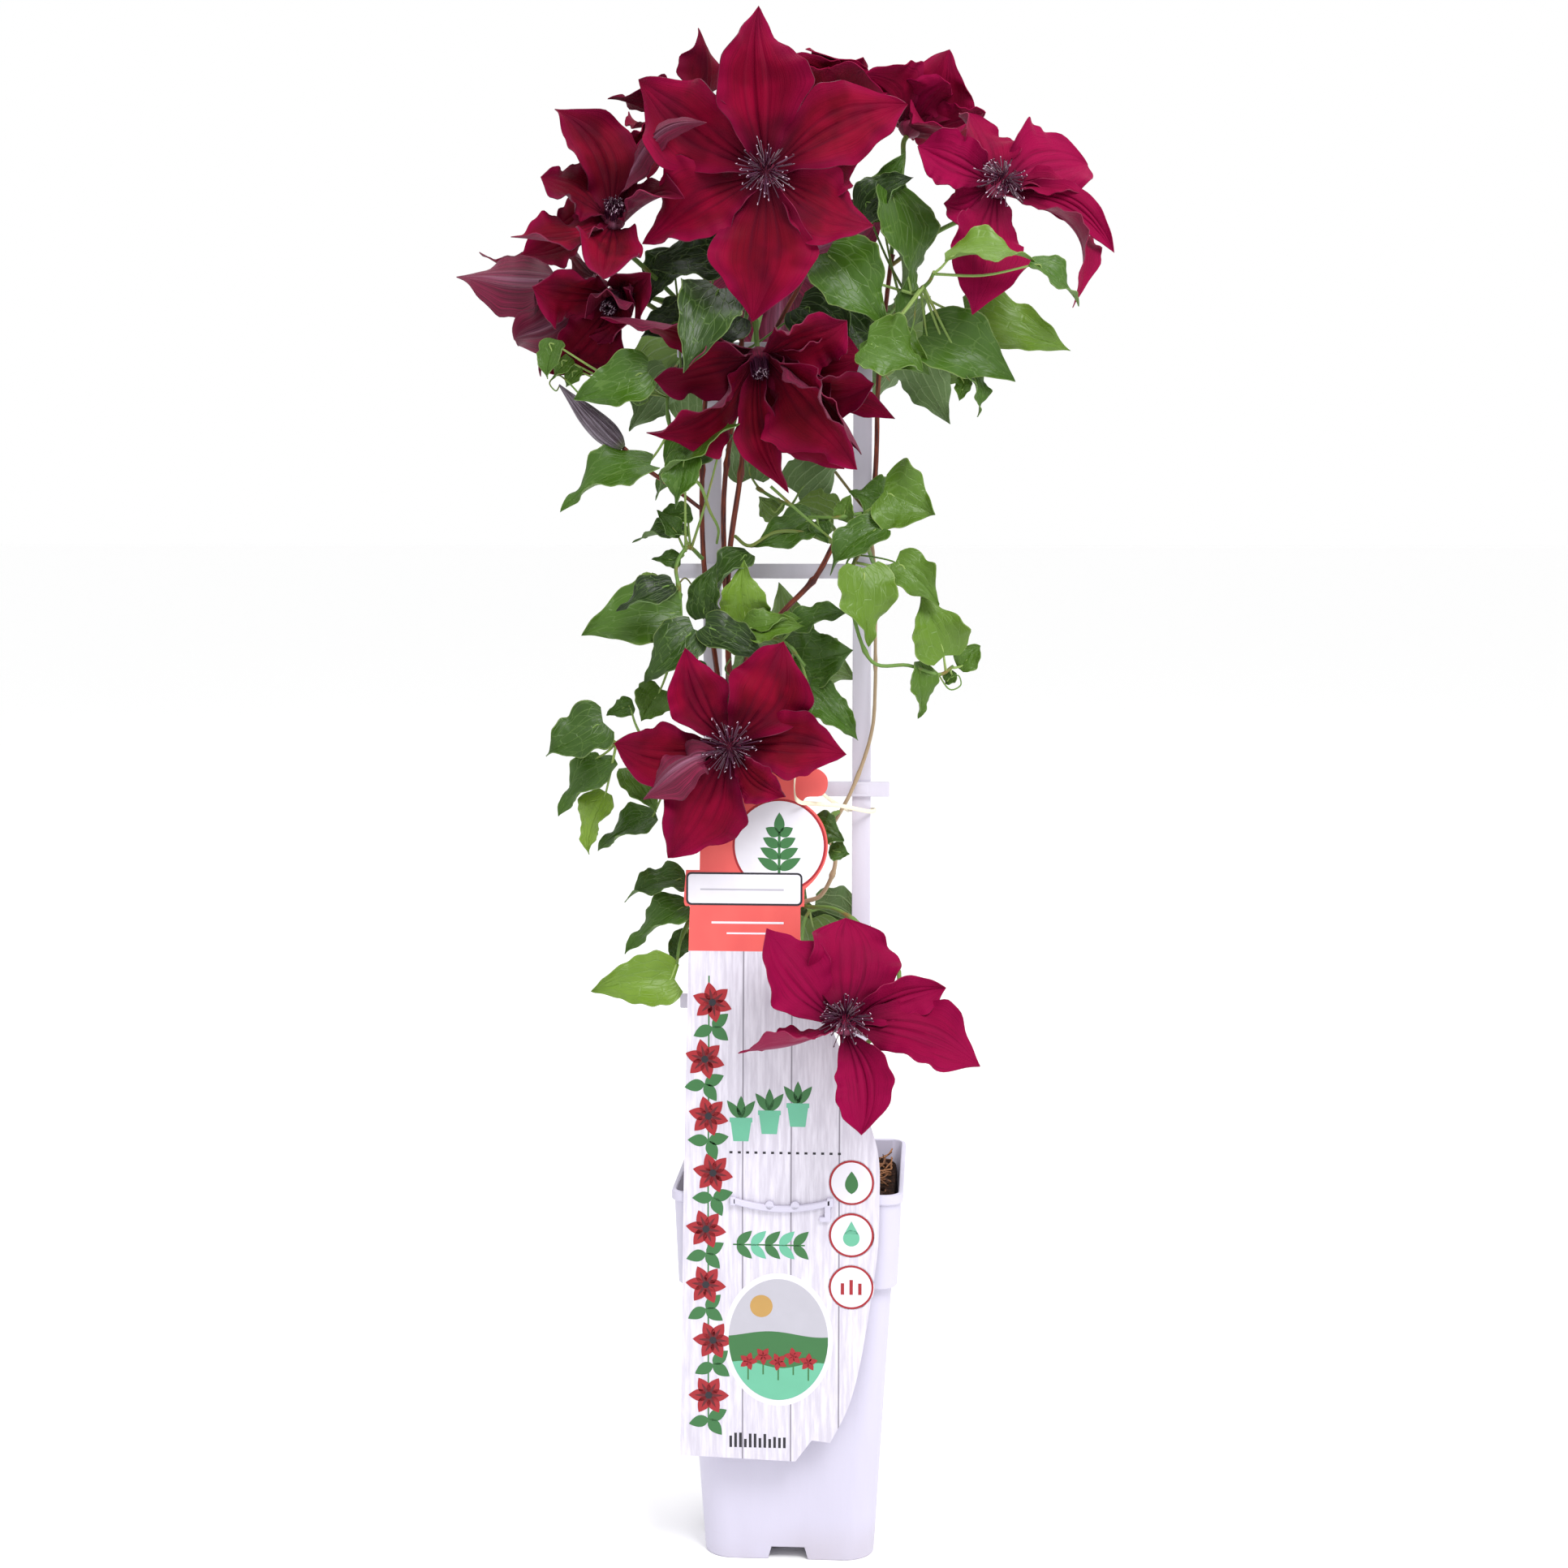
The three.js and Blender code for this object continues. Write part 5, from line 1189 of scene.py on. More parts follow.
# Young and hidden leaves, by the leafy shoot they grow on, each with its tone; the hidden ones are dark, as
# painted shade among the blooms.
youngLeaves = {
    "top_left": [
        (-115, -46, 644, -125, -46, 632, 10, 0.6), (-110, -44, 639, -118, -42, 629, 9, 0.6),
        (-30, -14, 668, -62, -16, 640, 30, 0.05), (-61, -26, 697, -76, -26, 672, 22, 0.05),
        (-56, -24, 668, -80, -24, 656, 22, 0.1), (3, -16, 672, 30, -16, 648, 32, 0.1),
    ],
    "top_right": [
        (88, -52, 633, 85, -52, 621, 9, 0.6), (91, -54, 636, 95, -54, 613, 10, 0.4),
        (26, -14, 668, 46, -14, 640, 28, 0.15), (37, -66, 650, 66, -68, 636, 34, 0.6),
    ],
    "upper_left": [
        (-60, -20, 552, -72, -24, 566, 10, 0.4), (-52, -30, 486, -44, -32, 470, 11, 0.4),
        (-62, -56, 528, -92, -60, 514, 17, 0.1), (-34, -38, 610, -74, -42, 572, 19, 0.5),
    ],
    "upper_right": [
        (26, -27, 560, 30, -30, 574, 12, 0.6), (12, -24, 560, 18, -26, 548, 12, 0.3),
    ],
    "mid_right": [
        (-23, -22, 543, -50, -26, 513, 16, 0.2), (-24, -40, 505, 4, -42, 510, 11, 0.6),
    ],
}
# Tendrils and thin shoots without leaves: half width, tone and points.
thinShoots = {
    "upper_left": [
        (0.95, 0.9, [
            (-61, -30, 582), (-50, -30, 580), (-44, -22, 565), (-40, -12, 556), (-41, -5, 548),
        ]),
        (0.5, 0.5, [(-62, -25, 525), (-57, -24, 530), (-52, -20, 522), (-48, -14, 508)]),
    ],
    "upper_right": [
        (0.85, 0.85, [(-12, -34, 578), (5, -34, 563), (18, -26, 552), (22, -22, 548)]),
        (0.8, 0.45, [(22, -16, 586), (33, -14, 572), (41, -10, 562), (43, -5, 556)]),
        (1.3, 0.52, [
            (42, -8, 563), (36, -20, 556), (22, -24, 549), (5, -26, 554), (-10, -26, 554),
            (-23, -24, 547), (-31, -16, 552),
        ]),
    ],
    "mid_right": [
        (0.7, 0.3, [
            (-38, -12, 514), (-36, -22, 516), (-31, -26, 516), (-26, -30, 518), (-23, -32, 520),
        ]),
        (0.6, 0.8, [
            (-24, -30, 500), (-22, -34, 486), (-30, -34, 478), (-36, -30, 482), (-33, -26, 488),
        ]),
    ],
    "trailing_right": [
        (0.6, 0.8, [(27, -30, 533), (29, -28, 540), (35, -26, 542), (52, -36, 539), (58, -44, 533)]),
        (0.45, 0.8, [(76, -38, 480), (82, -36, 472), (88, -34, 474), (87, -32, 479), (83, -33, 478)]),
    ],
    "top_left": [
        (0.5, 0.85, [
            (-110, -54, 625), (-117, -46, 632), (-122, -42, 635), (-126, -44, 631), (-123, -42, 627),
            (-121, -40, 630),
        ]),
        (0.5, 0.85, [
            (-66, -30, 624), (-74, -34, 626), (-76, -36, 622), (-81, -38, 620), (-85, -36, 624),
            (-86, -34, 629),
        ]),
    ],
    "top_right": [
        (0.5, 0.6, [
            (64, -44, 677), (62, -54, 668), (61, -60, 661), (58, -62, 654), (51, -60, 655),
            (50, -64, 660), (56, -66, 661),
        ]),
        (0.6, 0.5, [(60, -30, 676), (50, -34, 664), (44, -30, 650), (46, -20, 640), (51, -6, 634)]),
    ],
}


def leafSpec(shoot, i, row):
    # how one leaf lies, with the lean, bend and waves of its solid
    base, tip, seen = Vector(row[:3]), Vector(row[3:6]), row[6]
    seed = shoot["seed"] + i
    tones = shoot.get("tones", ())
    own = 0.12 * (jitter(seed, 11) - 0.5)
    if len(row) > 7:
        tone = row[7] + own
    elif i < len(tones):
        tone = tones[i] + own
    else:
        tone = shoot["tone"] + 0.8 * (jitter(seed, 11) - 0.5)
    width = max(seen, leafForm["slim"] * (tip - base).length)
    lean = max(12, math.degrees(math.acos(seen / width)))
    small = seen < leafForm["small"]
    behind = shoot["path"][0][1] > 2
    chord = (tip - base).normalized()
    front = Vector((0, 1 if behind else -1, 0.1))
    front = (front - chord * front.dot(chord)).normalized()
    return {
        **leafForm,
        "base": base, "tip": tip, "width": width, "face": front, "seed": seed,
        "roll": lean if chord.cross(front).z > 0 else -lean, "lobe": 0 if small else leafForm["lobe"],
        "outline": smallOutline if small else leafOutline, "second": shoulderOutline,
        "bend": 24 + 26 * jitter(seed, 6), "twist": 60 * (jitter(seed, 7) - 0.5),
        "waves": 1.3 + 0.6 * jitter(seed, 8), "phase": 6.28 * jitter(seed, 9),
        "curl": -0.05 * jitter(seed, 10), "sway": 0.16 * (jitter(seed, 12) - 0.5),
        "blunt": jitter(seed, 13), "tone": min(1, max(0, tone)),
    }


def nearest(line, point):
    # the point of a shoot nearest to a leaf, kept off the bends
    best = None
    for a, b in zip(line, line[1:]):
        share = (point - a).dot(b - a) / (b - a).length_squared
        spot = a.lerp(b, min(max(share, 0.2), 0.8))
        if best is None or (spot - point).length < (best - point).length:
            best = spot
    return best


def addShoot(form, shoot, leaves):
    # a shoot that begins just outside its stem, with a stalk to each leaf
    stem, height = shoot["from"]
    start = onStem(stem, height)
    corners = [start, *[Vector(p) for p in shoot["path"]]]
    side = Vector((corners[1].x - start.x, corners[1].y - start.y, 0)).normalized()
    corners[0] = start + side * stemForm["shootsFrom"][stem != "thin"]
    line = smoothLine(corners, 7)
    size = leafForm["shoot"]
    form.tube(line, stemRadii(line, size, size * 0.8, shoot["seed"]), 8, 0.75, 2)
    for i, row in enumerate(leaves):
        spec = leafSpec(shoot, i, row)
        joint = nearest(corners, spec["base"])
        length = (spec["tip"] - spec["base"]).length
        meet, ahead, across, raised = frameAt(spec, leafForm["joint"] / length)
        reach = (meet - joint).length
        bow = joint.lerp(meet, 0.5) - upward * reach * 0.06
        under = raised * 0.5  # the stalk meets the leaf from below
        ends = smoothLine([joint, bow, meet - under, meet + ahead * 4 - under], 5)
        width = leafForm["petiole"]
        radii = [between(width, width * 0.45, k / (len(ends) - 1)) for k in range(len(ends))]
        form.tube(ends, radii, 7, 0.8 + 0.3 * spec["tone"], 2)


leafMaterials = [leafFace(), leafBack(), stemMaterial]
for name, shoot in shoots.items():
    leaves = Form()
    rows = shoot["leaves"] + youngLeaves.get(name, [])
    for i, row in enumerate(rows):
        addBlade(leaves, leafSpec(shoot, i, row))
    leaves.thicken(leafForm["thickness"], 1)
    addShoot(leaves, shoot, rows)
    for size, tone, points in thinShoots.get(name, []):
        line = smoothLine(points, 6)
        radii = [between(size, size * 0.7, k / len(line)) for k in range(len(line))]
        leaves.tube(line, radii, 7, tone, 2)
    leaves.finish(pieceName("leaves", name), "leaves_" + name, "leaf", leafMaterials)
print("leafy shoots:", len(shoots))


# Half widths and heights of the pot.
potForm = {
    "foot": 46.0,
    "shoulder": 55.5,
    "shoulderHeight": 155.0,
    "collar": 58.5,
    "rim": 61.0,
    "height": 207.0,
    "wall": 2.0,
    "floor": 10.0,
    "under": 7.5,  # the underside, inside the foot ring
    "notch": 11.0,  # half of each notch in the foot ring
    "soil": 196.0,
}


def roundedSquare(steps, cornerSteps):
    # stations round a square: a share of a flat side, or of the turn in a corner
    stations = []
    for side in range(4):
        stations += [(side, "flat", t) for t in steps]
        stations += [(side, "corner", k / cornerSteps) for k in range(1, cornerSteps)]
    return stations


def stationPoint(station, half, radius):
    # where a station lies on a square of this half width and corner radius
    side, kind, share = station
    flat = half - radius
    if kind == "flat":
        x, y = half, flat * share
    else:
        angle = math.pi / 2 * share
        x, y = flat + radius * math.cos(angle), flat + radius * math.sin(angle)
    turn = math.pi / 2 * side
    return Vector((x * math.cos(turn) - y * math.sin(turn), x * math.sin(turn) + y * math.cos(turn), 0))


def addPot(form):
    p = potForm
    foot, shoulder, collar, rim = p["foot"], p["shoulder"], p["collar"], p["rim"]
    top, wall, step = p["height"], p["wall"], p["shoulderHeight"]
    # half width, corner radius and height, from the underside round to the floor inside
    profile = [
        (0, 0, p["under"]), (foot - 3, 13, p["under"]), (foot - 2.6, 14, 0.4), (foot - 2.2, 14, 0),
        (foot - 0.5, 16, 0), (foot, 16, 0.5), (foot + 0.45, 16, p["under"]), (foot + 4.7, 14.5, 77),
        (shoulder, 13, step - 0.6), (shoulder + 0.6, 12, step), (collar - 0.5, 11, step),
        (collar, 11, step + 0.6), (rim - 0.9, 9, top - 6), (rim - 0.4, 9, top - 5.5),
        (rim + 0.2, 9, top - 5.2), (rim + 0.5, 9, top - 4.8), (rim + 0.5, 9, top - 1.2),
        (rim + 0.3, 9, top - 0.4), (rim - 0.3, 9, top), (rim - wall + 0.5, 8, top),
        (rim - wall, 7, top - 0.6), (collar - wall, 9, step + 1.5), (shoulder - wall, 11, step - 1),
        (foot - wall + 0.6, 14, p["floor"]), (0, 0, p["floor"]),
    ]
    notch = p["notch"] / (foot - 16)
    slope = (p["notch"] - 2) / (foot - 16)
    stations = roundedSquare([-1, -0.7, -notch, -slope, 0, slope, notch, 0.7, 1], 9)
    count = len(stations)

    def place(column, row):
        half, radius, z = profile[row]
        station = stations[column % count]
        point = stationPoint(station, half, radius)
        cut = station[1] == "flat" and abs(station[2]) <= slope + 0.001
        point.z = max(z, p["under"] - 0.5) if cut else z
        return point

    form.grid(count, len(profile) - 1, place, 0, 0)


# The strap moulded on the front of the rim, which holds the label.
strapForm = {
    "low": -65.6,  # y of the strap's outer side
    "high": -63.25,  # and of its inner side
    "rim": -59.8,  # y where its feet are sunk in the rim
    "tops": [
        (-27.4, 205.6), (-20, 203.7), (-11, 202.2), (-2, 201.6), (7, 202.1), (16, 203.6), (23, 205.4),
    ],
    "drop": 3.4,
    "feet": [((-29.4, 201.6), (-26.4, 206.2)), ((21.6, 201.4), (25, 206.2))],  # corners in x and z
    "hook": [((20.4, 193.4), (23.6, 204)), ((17.6, 193.4), (21.4, 196))],
    "nubs": (-8.6, 4.9),
    "nubHeight": 201.8,
    "nubRadius": 2.4,
}


def addStrap(form):
    # the moulded strap on the front of the rim, with its two nubs and its hooked end
    low, high, rim = strapForm["low"], strapForm["high"], strapForm["rim"]
    tops = smoothLine([(x, 0, z) for x, z in strapForm["tops"]], 4)
    drop, edge = strapForm["drop"], 0.5
    section = [
        (low + edge, -drop), (high - edge, -drop), (high, edge - drop), (high, -edge), (high - edge, 0),
        (low + edge, 0), (low, -edge), (low, edge - drop),
    ]

    def place(column, row):
        point = tops[min(max(row - 1, 0), len(tops) - 1)]
        y, z = section[-column % 8]
        if row in (0, len(tops) + 1):
            y, z = (low + high) / 2, -drop / 2
        return Vector((point.x, y, point.z + z))

    form.grid(8, len(tops) + 1, place, 0, 0)
    for (left, bottom), (right, top) in strapForm["feet"]:
        form.block((left, low, bottom), (right, rim, top), edge)
    for (left, bottom), (right, top) in strapForm["hook"]:
        form.block((left, low + 0.2, bottom), (right, high, top), edge)
    radius = strapForm["nubRadius"]
    for x in strapForm["nubs"]:
        made = bmesh.ops.create_cone(form.mesh, cap_ends=True, segments=24, radius1=radius,
                                     radius2=radius, depth=high - low)
        turn = Matrix.Rotation(math.radians(90), 4, "X")
        spot = Matrix.Translation((x, (low + high) / 2, strapForm["nubHeight"]))
        bmesh.ops.transform(form.mesh, matrix=spot @ turn, verts=made["verts"])
        form.softEdges(made["verts"], 0.35)


potMaterial = plasticFinish("potPlastic", plasticLook["pot"], plasticLook["shade"], 1.0)
pot = Form()
addPot(pot)
addStrap(pot)
pot.finish("squarePot", "pot", "pot", [potMaterial], turned=False, crease=28)
print("pot")


# A moulded ladder of two rails with ribs down their backs, and four rungs in front.
trellisForm = {
    "rails": (-44.3, 36.8),
    "railWidth": 10.0,
    "front": 6.0,  # y of the rails' front and back
    "back": 9.0,
    "foot": 108.0,
    "top": 656.0,
    "rib": (1.6, 3.2),  # half width and depth of the rib down the back of a rail
    "rungs": (651.0, 533.0, 415.0, 297.0),
    "rungHalf": 4,
    "rungLeft": -62.6,
    "rungRight": 52.0,
    "rungFront": 3.4,
    "pad": (3.6, 2.4),  # half width and half height of the raised pad where rung and rail cross
}


def addTrellis(form):
    t = trellisForm
    front, back, foot, top = t["front"], t["back"], t["foot"], t["top"]
    half, rungHalf = t["railWidth"] / 2, t["rungHalf"]
    rib, depth = t["rib"]
    wide, high = t["pad"]
    for x in t["rails"]:
        form.block((x - half, front, foot), (x + half, back, top), 0.5)
        form.block((x - rib, back - 0.5, foot), (x + rib, back + depth, top - 2), 0.5)
    for z in t["rungs"]:
        corner = (t["rungRight"], front + 0.4, z + rungHalf)
        form.block((t["rungLeft"], t["rungFront"], z - rungHalf), corner, 0.6)
        for x in t["rails"]:
            form.block((x - wide, t["rungFront"] - 0.25, z - high), (x + wide, front, z + high), 0.2)


trellisMaterial = plasticFinish("trellisPlastic", plasticLook["trellis"], plasticLook["shade"], 0.5)
trellis = Form()
addTrellis(trellis)
trellis.finish("ladderTrellis", "trellis", "trellis", [trellisMaterial], turned=False, crease=28)
print("trellis")


# The soil fills the pot, with crumbs and fibres on its top.
soilForm = {
    "crumbs": 260,
    "crumbSizes": (0.8, 3.4),
    "fibres": 420,
    "fibreLengths": (6, 15),
    "fibreWidths": (0.25, 0.6),
    "rise": 9.5,  # how high the fibres stand above the soil
    "rings": (0.99, 0.93, 0.85, 0.76, 0.66, 0.55, 0.43, 0.3, 0.15, 0),  # of its top, as shares
    "lump": 0.9,  # how far its lumps rise and fall
}


def soilHeight(x, y):
    # the lumpy top of the soil
    lump = math.sin(x * 0.31 + 1.3) * math.cos(y * 0.27) + 0.6 * math.sin(x * 0.83 + y * 0.71)
    return potForm["soil"] - 0.6 + soilForm["lump"] * lump


def addGround(form):
    # fills the pot a hair inside its wall, and returns the half width at the top
    p = potForm
    wall = p["wall"] + 0.3
    stations = roundedSquare([-1, -0.6, -0.2, 0.2, 0.6, 1], 8)
    count = len(stations)
    side = p["collar"] + 0.4 - wall
    rings = [
        (0, 0, p["floor"] + 0.3), (p["foot"] + 0.6 - wall, 14, p["floor"] + 0.3),
        (p["shoulder"] - wall, 11, p["shoulderHeight"] - 1.2),
        (p["collar"] - wall - 0.4, 9, p["shoulderHeight"] + 2.4), (side, 9, p["soil"] - 5),
    ]
    rings += [(side * share, 9 * share, None) for share in soilForm["rings"]]

    def place(column, row):
        half, radius, z = rings[row]
        point = stationPoint(stations[column % count], half, radius)
        point.z = soilHeight(point.x, point.y) if z is None else z
        return point

    form.grid(count, len(rings) - 1, place, 0, 0)
    return side


def addCrumbs(form, reach):
    for k in range(soilForm["crumbs"]):
        x, y = reach * (2 * jitter(k, 51) - 1), reach * (2 * jitter(k, 52) - 1)
        size = between(*soilForm["crumbSizes"], jitter(k, 53) ** 2)
        made = bmesh.ops.create_icosphere(form.mesh, subdivisions=1, radius=size)
        for vert in made["verts"]:
            vert.co *= 0.8 + 0.5 * jitter(k * 17 + vert.index % 12, 54)
        bmesh.ops.translate(form.mesh, vec=(x, y, soilHeight(x, y) + size * 0.3), verts=made["verts"])


def addFibres(form, reach):
    for k in range(soilForm["fibres"]):
        x, y = reach * (2 * jitter(k, 61) - 1), reach * (2 * jitter(k, 62) - 1)
        angle = 6.28 * jitter(k, 63)
        way = Vector((math.cos(angle), math.sin(angle), 0))
        bend = Vector((-way.y, way.x, 0)) * 8 * (jitter(k, 64) - 0.5)
        size = between(*soilForm["fibreLengths"], jitter(k, 65))
        tilt = 2 * jitter(k, 68) - 1
        rise = soilForm["rise"] * jitter(k, 66)
        points = []
        for share in (-0.5, -0.15, 0.2, 0.5):
            spot = Vector((x, y, 0)) + way * size * share + bend * (0.25 - share * share)
            spot.x, spot.y = max(min(spot.x, reach), -reach), max(min(spot.y, reach), -reach)
            spot.z = soilHeight(spot.x, spot.y) + 0.5 + rise * (0.5 + tilt * share)
            points.append(spot)
        line = smoothLine(points, 2)
        radius = between(*soilForm["fibreWidths"], jitter(k, 69))
        form.tube(line, [radius] * len(line), 4, jitter(k, 67), 1)


soil = Form()
soilReach = addGround(soil) - 3
addCrumbs(soil, soilReach)
addFibres(soil, soilReach)
soil.finish("pottingSoil", "soil", "soil", [soilFinish(), fibreFinish()], turned=False, crease=60)
print("soil")


# A stiff printed card hung behind the strap, leaning back to the trellis.
labelForm = {
    "bend": 205.0,  # the height at which the strap holds it
    "y": -62.4,
    "lowerSlope": 0.021,
    "upperSlope": 0.08,
    "cuts": range(70, 431, 15),  # heights where the card is cut to follow the bend
    "thickness": 1.0,
    "print": 0.09,  # thickness of the inks
    "sunk": 0.02,  # how deep they begin in the card
    "badges": (214, 186, 158),
    "badgeX": 34.5,
    "badgeRadius": 12.2,
}
labelLook = {
    "plank": colour(209, 205, 217),
    "grain": colour(188, 183, 196),
    "knot": colour(176, 170, 186),
    "seam": colour(112, 106, 118),
    "seams": (-23.0, 2.6, 28.0),
    "coral": colour(206, 80, 78),
    "darkCoral": colour(214, 88, 84),
    "head": (334.8, 335.2),  # height of the edge between planks and coral
}
# the flat inks of the print
inks = {
    "white": colour(216, 213, 222),
    "red": colour(150, 24, 34),
    "mint": colour(98, 172, 142),
    "green": colour(52, 106, 58),
    "dark": colour(30, 28, 36),
    "ochre": colour(176, 138, 76),
    "grey": colour(174, 172, 182),
    "wine": colour(90, 12, 24),
}
# The outline, x and z. Corners stay sharp, and the stretches between them are rounded.
labelCorners = [
    [(-56.3, 64.9), (5.2, 62.8)],
    [(5.2, 62.8), (13.8, 74.5)],
    [(13.8, 74.5), (23.7, 73.4)],
    [(23.7, 73.4), (33.1, 92.7), (39.5, 117), (45.8, 156.6), (48.6, 180), (49.2, 203), (48.8, 226),
     (43.2, 247.2), (25.9, 289.6), (6.8, 335.4)],
    [(6.8, 335.4), (6.8, 358.6)],
    [(6.8, 358.6), (8.8, 358.8)],
    [(8.8, 358.8), (8.8, 367.5)],
    [(8.8, 367.5), (14.6, 373.5), (19.3, 381.5), (21, 390.6), (19.3, 400), (14.6, 407.6), (7.5, 413.4)],
    [(7.5, 413.4), (10, 416.2), (17.2, 416.8), (20.4, 420.4), (20.4, 426.4), (16, 430.6), (10.4, 430.4),
     (6.6, 427.6)],
    [(6.6, 427.6), (3.4, 431.6), (-6.9, 434.2), (-19, 430.6), (-29.5, 423.6), (-38, 414.4),
     (-43.4, 403.4), (-46, 390), (-46.4, 377.4)],
    [(-46.4, 377.4), (-53.6, 377.4)],
    [(-53.6, 377.4), (-54.6, 360.4), (-51.4, 358.4)],
    [(-51.4, 358.4), (-52, 340), (-53.6, 250), (-56.3, 64.9)],
]


def flatShape(form, points, lift, thickness, material):
    # an upright sheet cut to an outline of x and z, lift in front of the card's middle
    verts = [form.mesh.verts.new((x, -lift, z)) for x, z in points]
    face = form.mesh.faces.new(verts)
    face.material_index = material
    face.normal_update()
    if face.normal.y > 0:
        face.normal_flip()
    made = bmesh.ops.extrude_face_region(form.mesh, geom=[face], use_keep_orig=True)
    moved = [item for item in made["geom"] if isinstance(item, bmesh.types.BMVert)]
    bmesh.ops.translate(form.mesh, vec=(0, -thickness, 0), verts=moved)
    face.normal_flip()
    for item in made["geom"]:
        if isinstance(item, bmesh.types.BMVert):
            for side in item.link_faces:
                side.material_index = material


def circle(x, z, radius, count=32, squash=1.0):
    # outlines of x and z for the print: a round, a leaf and a blossom of such leaves
    points = []
    for k in range(count):
        a = 2 * math.pi * k / count
        points.append((x + radius * math.cos(a), z + radius * squash * math.sin(a)))
    return points


def leafShape(x, z, length, width, turn):
    points = []
    for k in range(20):
        u = k / 10 if k <= 10 else (20 - k) / 10
        side = 1 if k <= 10 else -1
        dx, dz = length * u, side * width / 2 * math.sin(math.pi * u ** 0.8) ** 0.9
        points.append((x + dx * math.cos(turn) - dz * math.sin(turn),
                       z + dx * math.sin(turn) + dz * math.cos(turn)))
    return points


def flowerShape(x, z, radius, count, turn):
    return [leafShape(x, z, radius, radius * 0.62, turn + 2 * math.pi * k / count) for k in range(count)]


def cardCurve():
    # the outline of the card, its corners kept sharp
    outline = []
    for stretch in labelCorners:
        line = smoothLine([(x, 0, z) for x, z in stretch], 4 if len(stretch) > 2 else 1)
        outline += [(p.x, p.z) for p in line[:-1]]
    return outline


def bendCard(form):
    # leans every point of the card and its print back from the strap
    for z in labelForm["cuts"]:
        geometry = [*form.mesh.verts, *form.mesh.edges, *form.mesh.faces]
        bmesh.ops.bisect_plane(form.mesh, geom=geometry, plane_co=(0, 0, z), plane_no=(0, 0, 1), dist=1e-4)
    for vert in form.mesh.verts:
        above = vert.co.z - labelForm["bend"]
        slope = labelForm["upperSlope"] if above > 0 else labelForm["lowerSlope"]
        vert.co.y += labelForm["y"] + slope * above


def inkFinish(index, ink):
    finish = Finish("labelInk" + str(index), 0.42, Specular_IOR_Level=0.4)
    shade = finish.noise(finish.place(), 120, 2)
    soft = tuple(channel * 0.9 for channel in ink[:3]) + (1,)
    finish.set("Base Color", finish.mix(shade, soft, ink))
    finish.set("Roughness", 0.38 + shade * 0.1)
    return finish.material


def cardFinish():
    # the card itself: a coral head, and pale planks below
    look = labelLook
    finish = Finish("labelCard", 0.42, Specular_IOR_Level=0.4)
    spots = finish.axes()
    x, z = spots[0], spots[2]
    grain = finish.noise(finish.joined(x * 0.42, z * 0.035), 1.0, 6, 0.65)
    knots = finish.noise(finish.joined(x * 0.06, z * 0.03), 1.0, 2)
    planks = finish.mix(finish.step(grain, 0.36, 0.66), look["grain"], look["plank"])
    planks = finish.mix(finish.step(knots, 0.5, 0.8) * 0.3, planks, look["knot"])
    for seam in look["seams"]:
        planks = finish.mix(finish.step(abs(x - seam), 0.55, 0.25) * 0.85, planks, look["seam"])
    coral = finish.mix(finish.step(knots, 0.3, 0.8), look["darkCoral"], look["coral"])
    skin = finish.mix(finish.step(z, *look["head"]), planks, coral)
    finish.set("Base Color", skin)
    finish.set("Roughness", 0.38 + grain * 0.12)
    finish.bump(grain, 0.0001, 0.3)
    return finish.material


